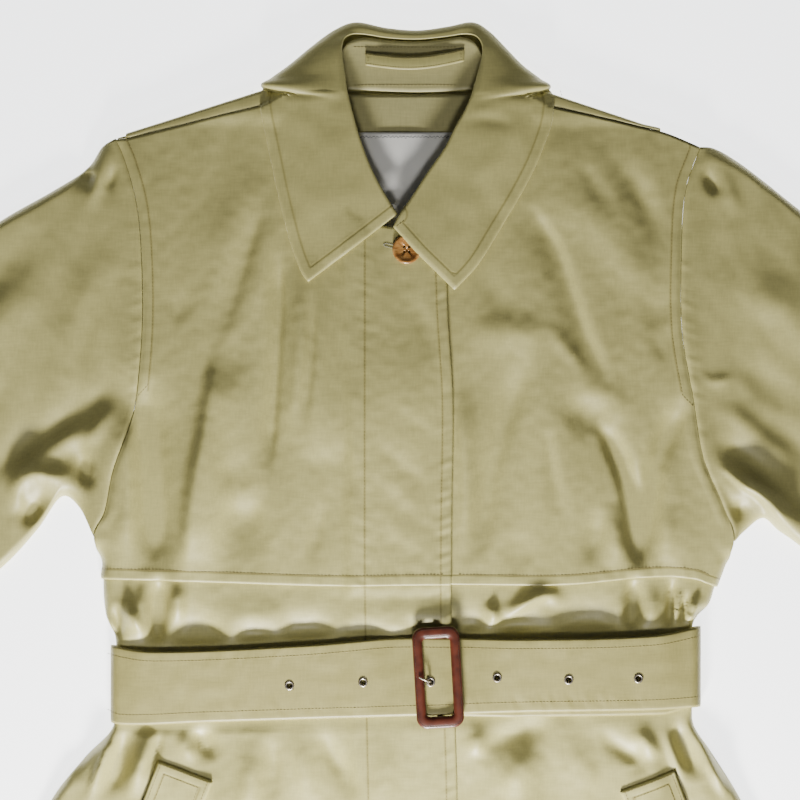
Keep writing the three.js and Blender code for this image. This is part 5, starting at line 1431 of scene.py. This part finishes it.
visible = np.nonzero(wraps < 0.5)[0]
right_fall = fall_middle[visible[visible < len(wraps) // 2]]
left_fall = fall_middle[visible[visible > len(wraps) // 2]]
collar_outlines = [
    np.concatenate([right_fall[0], right_fall[:, -1]])[:, :2],
    np.concatenate([left_fall[:, -1], left_fall[-1, ::-1]])[:, :2],
]
fall_inset = np.full(fall_x.shape, FAR)
for outline in collar_outlines:
    keep = [0]
    for i in range(1, len(outline)):
        if np.hypot(*(outline[i] - outline[keep[-1]])) > 1.2:
            keep.append(i)
    fall_inset = np.minimum(fall_inset, np.abs(path_distance(outline[keep], fall_x, fall_y)[0]))
outer, inner = wall_grids(fall_middle, COLLAR_CLOTH)
up = outer[..., 2:] > inner[..., 2:]
band = np.where(lying, stitched_band(fall_inset, STITCH_INSET, 0.3), 0)[..., None]
direction = (outer - inner) / COLLAR_CLOTH
outer = np.where(up, outer + direction * band, outer)
inner = np.where(up, inner, inner - direction * band)
fall = cloth_shell(
    "collar_fall_cloth", outer, inner, khaki, seams=[np.where(lying, fall_inset - STITCH_INSET, FAR)],
)
coat_piece(fall, "collar_fall")


def inset_path(outline, inset):
    """A line a given way inside an outline, on its left, with its sharp corners kept."""
    line = even_line(outline, 1.0)
    along = np.gradient(line, axis=0)
    along /= np.linalg.norm(along, axis=1, keepdims=True)
    moved = line + np.stack([-along[:, 1], along[:, 0]], 1) * inset
    clear = np.abs(path_distance(line[::3], moved[:, 0], moved[:, 1])[0]) > inset - 0.12
    return moved[clear]


fall_trees = tree_of(fall)
collar_lines = [inset_path(outline, STITCH_INSET) for outline in collar_outlines]
collar_sewn = sew("collar_stitches", collar_lines, fall_trees)

# Button. A turned four hole button of amber brown horn closes the neck, half under the collar.

BUTTON = {"x": 5.4, "y": 337.0, "radius": 11.5, "thick": 2.8}


def ring_quads(rows, columns):
    """Corner numbers of the quads of a grid that closes on itself both ways."""
    at = np.arange(rows)[:, None] * columns
    after = np.roll(at, -1, 0)
    column = np.arange(columns)[None, :]
    following = np.roll(column, -1, 1)
    return np.stack([at + column, after + column, after + following, at + following], -1).reshape(-1, 4)


def lathe(name, profile, sides, centre, material):
    """A closed round piece from a profile of radius and height, which starts and ends anywhere."""
    profile = np.array(profile, float)
    turn = np.arange(sides) * 2 * math.pi / sides
    points = np.stack([
        profile[None, :, 0] * np.cos(turn)[:, None], profile[None, :, 0] * np.sin(turn)[:, None],
        np.broadcast_to(profile[None, :, 1], (sides, len(profile))),
    ], -1) + np.array(centre, float)
    return add_mesh(name, points.reshape(-1, 3), ring_quads(sides, len(profile)), material)


def horn_material():
    """Polished horn: amber with darker and paler streaks."""
    material, tree, shader = new_material("amber_horn", 0.22, specular=0.6)
    place = stretched(tree, object_coordinates(tree), (1, 3, 1), 0.5)
    streaks = noise(tree, place, 120.0, 4.0, Distortion=0.8)
    colour = colour_ramp(
        tree, streaks, (0.3, (0.22, 0.085, 0.02)), (0.55, (0.46, 0.22, 0.06)), (0.75, (0.62, 0.36, 0.13)),
    )
    put_on(tree, shader, colour, streaks, 0.15, 0.0001)
    return material


cape_trees = tree_of(*capes)
button_seat = float(top_of(cape_trees, [BUTTON["x"]], [BUTTON["y"]])[0]) + GAP
button_profile = [
    (0.02, 0), (0.55, 0), (0.86, 0.2), (0.98, 0.45), (1, 0.62), (0.98, 0.85), (0.92, 0.98), (0.84, 0.98),
    (0.74, 0.82), (0.66, 0.7), (0.3, 0.66), (0.02, 0.66),
]
button = lathe(
    "horn_button", [(r * BUTTON["radius"], h * BUTTON["thick"]) for r, h in button_profile], 56,
    (BUTTON["x"], BUTTON["y"], button_seat), horn_material(),
)


def cut(piece, cutters):
    """Cuts holes through a piece with other meshes, which are then removed."""
    for cutter in cutters:
        modifier = piece.modifiers.new("hole", "BOOLEAN")
        modifier.operation = "DIFFERENCE"
        modifier.solver = "EXACT"
        modifier.object = cutter
    depsgraph = bpy.context.evaluated_depsgraph_get()
    mesh = bpy.data.meshes.new_from_object(piece.evaluated_get(depsgraph))
    piece.modifiers.clear()
    piece.data = mesh
    for cutter in cutters:
        bpy.data.objects.remove(cutter)


holes = [
    lathe("hole", [(0.01, -4), (1.0, -4), (1.0, 6), (0.01, 6)], 16,
          (BUTTON["x"] + dx, BUTTON["y"] + dy, button_seat), button.data.materials[0])
    for dx, dy in ((-2, -2), (2, -2), (2, 2), (-2, 2))
]
cut(button, holes)
coat_piece(button, "button", slot="horn")
buttonhole_thread = thread_material("pale_grey_thread", (0.42, 0.41, 0.34))
sew("buttonhole_stitches", [
    [(4, 338.6), (-11.4, 342.1), (-13.2, 341.3), (-12.2, 339.7), (4, 336.0)],
], cape_trees, buttonhole_thread, 0.75, 0.42, 0.1, 0.9)

# Belt. A double strip of the cloth, wound once round the waist under the back and through the
# buckle, stitched along both edges, with six eyelets in its tip end.

BELT_THICKNESS = 2.0
BELT_LEAN = 3.2
BUCKLE_X = 30.4
FRONT_TOP_Z = BELT_BED + CLOTH + GAP
LAP_TOP_Z = FRONT_TOP_Z + LAYER
BUCKLE_Z = LAP_TOP_Z + 6.8
BELT_ROWS = (np.array([-43, -15, 14, 28]) - HEM_Y) / (SKIRT_TOP - HEM_Y)
EYELETS = [(-88.4, -11.4), (-29.6, -8.7), (24.4, -8.2), (77.6, -5), (134.7, -6.6), (190.4, -5.6)]
EYELET_HOLE = 2.0
BELT_TABLE_ENDS = (-238, 243)


def belt_arc(sign, centre_x, centre_z, radius, turns):
    """Stations of the belt on an arc, at turns in degrees from straight up towards the side."""
    points = []
    for turn in turns:
        out_x, out_z = sign * math.sin(math.radians(turn)), math.cos(math.radians(turn))
        points.append((centre_x + out_x * radius, centre_z + out_z * radius, out_x, out_z, 0))
    return points


def belt_side(rail, low, layers_out):
    """Where the belt turns round the side of the coat, from its top down to its underside."""
    sign = rail["sign"]
    bed, radius = (float(value[0]) for value in side_fold(rail, BELT_ROWS[2:3])[3:])
    x = sign * np.max(np.abs(side_fold(rail, BELT_ROWS)[0]))
    inner = radius + CLOTH + GAP + layers_out * BELT_LAYER
    centre_x, centre_z = x - sign * (CLOTH + radius), bed - radius
    under_radius = max(centre_z - low, 0.6)
    rim_x = centre_x + sign * (inner - under_radius)
    upper = belt_arc(sign, centre_x, centre_z, inner, range(0, 91, 15))
    return upper + belt_arc(sign, rim_x, low + under_radius, under_radius, range(105, 181, 15))


def belt_route():
    """Stations along the belt: place across, height of its inner face, outward direction, shift."""
    up = [(x, z, 0, 1, shift) for x, z, shift in (
        (34, LAP_TOP_Z, 0), (41, LAP_TOP_Z, 0), (52, FRONT_TOP_Z, -2), (88, FRONT_TOP_Z, -4),
        (130, FRONT_TOP_Z, -4), (175, FRONT_TOP_Z, -4), (212, FRONT_TOP_Z, -4))]
    low = BELT_THICKNESS
    second = BELT_THICKNESS + BELT_LAYER
    route = [*up, *belt_side(LEFT, second, 0)]
    route += [(x, second, 0, -1, 0) for x in (215, 185, 148)]
    route += [(x, low, 0, -1, 0) for x in (118, 60, 0, -70, -140, -195)]
    route += belt_side(RIGHT, low, 0)[::-1]
    top = FRONT_TOP_Z + BELT_LAYER
    route += [(x, z, 0, 1, 0) for x, z in (
        (-200, FRONT_TOP_Z), (-150, FRONT_TOP_Z), (-110, FRONT_TOP_Z), (-75, FRONT_TOP_Z),
        (-52, FRONT_TOP_Z), (-36, LAP_TOP_Z), (-10, LAP_TOP_Z), (8, LAP_TOP_Z + 1), (16, LAP_TOP_Z + 2.4),
        (25, LAP_TOP_Z + 4), (30.4, LAP_TOP_Z + 4.4), (36, LAP_TOP_Z + 4), (45, LAP_TOP_Z + 2.5),
        (56, top + 0.6), (90, top), (130, top), (175, top), (212, top))]
    route += belt_side(LEFT, low, 1)
    return np.array(route + [(x, low, 0, -1, 0) for x in (215, 185, BELT_TIP_X + 10, BELT_TIP_X)], float)


def belt_points(across_cells):
    """Inner face of the belt, its outward directions, its relief and the distance to its edges."""
    route = belt_route()
    run = np.concatenate([[0], np.cumsum(np.hypot(np.diff(route[:, 0]), np.diff(route[:, 1])))])
    stations = []
    for i in range(len(run) - 1):
        visible = route[i, 3] > 0.2 or route[i + 1, 3] > 0.2
        steps = max(1, int((run[i + 1] - run[i]) / (2.2 if visible else 8)))
        stations.extend(np.linspace(run[i], run[i + 1], steps, endpoint=False))
    stations = np.array([*stations, run[-1]])
    x, z, out_x, out_z, shift = (np.interp(stations, run, column) for column in route.T)
    size = np.hypot(out_x, out_z)
    clamped = np.clip(x, *BELT_TABLE_ENDS)
    low = (read_off(BELT_BOTTOM, clamped) + shift)[:, None]
    high = (read_off(BELT_TOP, clamped) + shift)[:, None]
    share = np.linspace(0, 1, across_cells + 1)[None, :]
    y = mix(low, high, share)
    out = np.stack([out_x / size, 0 * out_x, out_z / size], -1)[:, None, :]
    lean = BELT_LEAN * ease(34, 60, np.abs(x - BUCKLE_X)) * (1 - ease(205, 228, np.abs(x))) * (out_z > 0.9)
    height = z[:, None] + lean[:, None] * share
    base = np.stack([np.broadcast_to(x[:, None], y.shape), y, height], -1)
    inset = np.minimum(y - low, high - y)
    face_up = (out_z > 0.2)[:, None]
    relief = 0.25 * ease(-0.5, 2.5, inset) - 0.25
    relief = relief + np.where(
        face_up, puckers(base[..., 0], inset - STITCH_INSET, 61, 6.0, 0.26) * ease(0, 3, inset), 0,
    )
    relief = relief + np.where(face_up, rumple(base[..., 0], y, 62, 26, 0.13), 0)
    return base, out, relief[..., None], inset


base, out, relief, inset = belt_points(30)
belt = cloth_shell(
    "belt_strip", base + out * (BELT_THICKNESS + relief), base, khaki, seams=[inset - STITCH_INSET],
)
belt_trees = tree_of(belt)
eyelet_heights = [float(top_of(belt_trees, [x + 0.5], [y])[0]) for x, y in EYELETS]
BORE = EYELET_HOLE + 0.9
bores = [
    lathe("bore", [(0.01, -6), (BORE, -6), (BORE, 4), (0.01, 4)], 20, (x, y, height), khaki)
    for (x, y), height in zip(EYELETS, eyelet_heights)
]
belt_x = np.linspace(-234, 240, 300)
belt_sewn = sew("belt_stitches", [
    np.stack([belt_x, read_off(table, belt_x) + inset], 1)
    for table, inset in ((BELT_BOTTOM, STITCH_INSET), (BELT_TOP, -STITCH_INSET))
], belt_trees)
cut(belt, bores)
coat_piece(belt, "belt")

# Eyelets. Six rolled rings of aged nickel line the holes along the tip end of the belt. The prong
# of the buckle goes through one of them.


def aged_metal():
    """Worn nickel: bright, with browner and duller patches."""
    material, tree, shader = new_material("aged_nickel", 0.34, metallic=1.0)
    tarnish = noise(tree, object_coordinates(tree), 420.0, 4.0)
    rough = add_node(tree, "ShaderNodeMapRange", {"Value": tarnish, "To Min": 0.5, "To Max": 0.25})
    tree.links.new(rough.outputs["Result"], shader.inputs["Roughness"])
    colour = colour_ramp(tree, tarnish, (0.35, (0.34, 0.29, 0.22)), (0.65, (0.62, 0.58, 0.52)))
    put_on(tree, shader, colour, tarnish, 0.2, 0.0001)
    return material


nickel = aged_metal()
ring_profile = [
    (EYELET_HOLE, -1.7), (EYELET_HOLE + 0.6, -1.7), (EYELET_HOLE + 0.6, 0.2), (3.3, 0.2), (3.8, 0.35),
    (3.75, 0.7), (3.4, 0.95), (2.9, 1.0), (2.4, 0.85), (2.1, 0.5),
]
for i, ((x, y), height) in enumerate(zip(EYELETS, eyelet_heights)):
    ring = lathe("nickel_eyelet_%d" % (i + 1), ring_profile, 32, (x, y, height), nickel)
    coat_piece(ring, "eyelet_%d" % (i + 1), slot="metal")

# Buckle. A rounded frame covered in red brown leather, its edge stitched, with the strap of the
# belt beneath it and a metal prong through the third eyelet, its tip on the frame's right bar.

BUCKLE = {
    "x": BUCKLE_X, "y": -4.4, "width": 38.0, "height": 81.0, "side_bar": 8.0, "end_bar": 9.5, "thick": 3.4,
}
BUCKLE_TURN = math.radians(3.3)
BUCKLE_CORNER = 9.0
WINDOW_CORNER = 3.0


def rounded_loop(width, height, corner, turn_steps, side_steps, end_steps):
    """Points round a rectangle with round corners, the same number whatever its size."""
    x, y = width / 2 - corner, height / 2 - corner
    centres = [(x, -y), (x, y), (-x, y), (-x, -y)]
    points = []
    for i, (centre_x, centre_y) in enumerate(centres):
        for turn in range(turn_steps + 1):
            angle = math.radians(90 * (i - 1) + 90 * turn / turn_steps)
            points.append((centre_x + corner * math.cos(angle), centre_y + corner * math.sin(angle)))
        from_x, from_y = points[-1]
        next_x, next_y = centres[(i + 1) % 4]
        to_x = next_x + corner * math.cos(math.radians(90 * i))
        to_y = next_y + corner * math.sin(math.radians(90 * i))
        steps = end_steps if i % 2 else side_steps
        for step in range(1, steps):
            points.append((mix(from_x, to_x, step / steps), mix(from_y, to_y, step / steps)))
    return np.array(points)


def leather_material():
    """Polished red brown leather with fine pores and darker patches."""
    material, tree, shader = new_material("red_brown_leather", 0.34, specular=0.5)
    shader.inputs["Coat Weight"].default_value = 0.35
    shader.inputs["Coat Roughness"].default_value = 0.2
    coordinates = object_coordinates(tree)
    pores = add_node(tree, "ShaderNodeTexVoronoi", {"Vector": coordinates, "Scale": 1500.0})
    patches = noise(tree, coordinates, 130.0, 4.0)
    colour = colour_ramp(tree, patches, (0.3, (0.050, 0.010, 0.005)), (0.7, (0.115, 0.026, 0.012)))
    put_on(tree, shader, colour, maths(tree, "ADD", pores.outputs["Distance"], patches), 0.25, 0.00015)
    return material


leather = leather_material()
outside = rounded_loop(BUCKLE["width"], BUCKLE["height"], BUCKLE_CORNER, 10, 40, 16)
WINDOW_WIDTH = BUCKLE["width"] - 2 * BUCKLE["side_bar"]
WINDOW_HEIGHT = BUCKLE["height"] - 2 * BUCKLE["end_bar"]
window = rounded_loop(WINDOW_WIDTH, WINDOW_HEIGHT, WINDOW_CORNER, 10, 40, 16)
# Share of the way from the outside to the window, and height in the frame's thickness
FRAME_PROFILE = [
    (0.05, 0.02), (0, 0.2), (0, 0.5), (0.03, 0.72), (0.09, 0.88), (0.2, 0.97), (0.35, 1.02), (0.55, 1.04),
    (0.72, 1.0), (0.86, 0.86), (0.95, 0.66), (1, 0.42), (1, 0.18), (0.95, 0.02), (0.5, 0),
]


def on_buckle(points):
    """Turns and places points made about the middle of the buckle."""
    x, y = points[..., 0], points[..., 1]
    turned = np.stack([
        x * math.cos(BUCKLE_TURN) - y * math.sin(BUCKLE_TURN),
        x * math.sin(BUCKLE_TURN) + y * math.cos(BUCKLE_TURN), points[..., 2],
    ], -1)
    return turned + np.array([BUCKLE["x"], BUCKLE["y"], 0])


share, level = np.array(FRAME_PROFILE).T
ring = mix(outside[:, None, :], window[:, None, :], share[None, :, None])
ring_z = np.broadcast_to(BUCKLE_Z + level * BUCKLE["thick"], ring.shape[:2])
points = on_buckle(np.concatenate([ring, ring_z[..., None]], -1))
buckle = add_mesh("leather_buckle", points.reshape(-1, 3), ring_quads(*points.shape[:2]), leather)


def box_part(name, size, centre, material):
    """A plain bar of the buckle, its place measured from the buckle's middle."""
    half_size = np.array(size) / 2
    corners = np.array([(x, y, z) for x in (-1, 1) for y in (-1, 1) for z in (-1, 1)], float)
    faces = np.array([(0, 1, 3, 2), (4, 6, 7, 5), (0, 4, 5, 1), (2, 3, 7, 6), (0, 2, 6, 4), (1, 5, 7, 3)])
    return add_mesh(name, on_buckle(corners * half_size + np.array(centre)), faces, material, smooth=False)


# The middle bar under the strap's tip end, and the posts that join it to the frame
LEG_Y = BUCKLE["height"] / 2 - BUCKLE["end_bar"] / 2
POST_WIDTH = 5
POST_LENGTH = 4
post_height = BUCKLE_Z - LAP_TOP_Z - 2
post_middle = (BUCKLE_Z + 0.5 + LAP_TOP_Z + 2.5) / 2
legs = [box_part("bar", (POST_WIDTH, 2 * LEG_Y + POST_LENGTH, 1.4), (0, 0, LAP_TOP_Z + 3.2), leather)]
for end in (-1, 1):
    size = (POST_WIDTH, POST_LENGTH, post_height)
    legs.append(box_part("post", size, (0, end * LEG_Y, post_middle), leather))
buckle = join_pieces("leather_buckle", [buckle, *legs])
coat_piece(buckle, "buckle", slot="leather")
# Its stitches follow the line of the profile where the edge turns onto the face
STITCHED_LINE = 5
edge_run = np.concatenate([ring[:, STITCHED_LINE], ring[:1, STITCHED_LINE]])
edge_run = on_buckle(np.concatenate([edge_run, np.zeros((len(edge_run), 1))], 1))
brown_thread = thread_material("dark_brown_thread", (0.030, 0.014, 0.008))
sew("buckle_stitches", [edge_run[:, :2]], tree_of(buckle), brown_thread, 2.2, 0.26, 0.08, 0.8, "leather")


def rod(name, route, radii, sides, material):
    """A tapered rod along a route, closed at both ends."""
    path = smooth_path(route, 6)
    radius = np.interp(np.linspace(0, 1, len(path)), np.linspace(0, 1, len(radii)), radii)
    along = np.gradient(path, axis=0)
    along /= np.linalg.norm(along, axis=1, keepdims=True)
    side = np.cross(along, (0, 1, 0.3))
    side /= np.linalg.norm(side, axis=1, keepdims=True)
    other = np.cross(along, side)
    turn = np.arange(sides) * 2 * math.pi / sides
    rings = path[:, None] + radius[:, None, None] * (
        side[:, None] * np.cos(turn)[None, :, None] + other[:, None] * np.sin(turn)[None, :, None]
    )
    rings = np.concatenate([path[:1, None].repeat(sides, 1), rings, path[-1:, None].repeat(sides, 1)])
    count = len(rings)
    at = np.arange(count - 1)[:, None] * sides
    column = np.arange(sides)[None, :]
    following = np.roll(column, -1, 1)
    quads = np.stack([at + column, at + following, at + sides + following, at + sides + column], -1)
    return add_mesh(name, rings.reshape(-1, 3), quads.reshape(-1, 4), material)


hole_x, hole_y = EYELETS[2]
strap_top = eyelet_heights[2]
over = BUCKLE_Z + BUCKLE["thick"] + 0.9 + GAP
prong = rod("metal_prong", [
    (hole_x + 0.6, hole_y, strap_top - 2.3), (hole_x + 0.4, hole_y, strap_top - 0.8),
    (hole_x - 0.2, hole_y, strap_top + 1), (hole_x - 3, hole_y + 1.4, over - 0.6),
    (hole_x - 6, hole_y + 2.6, over), (hole_x - 9.6, hole_y + 4.4, over),
], (0.9, 0.9, 0.9, 0.85, 0.6), 14, nickel)
coat_piece(prong, "prong", slot="metal")
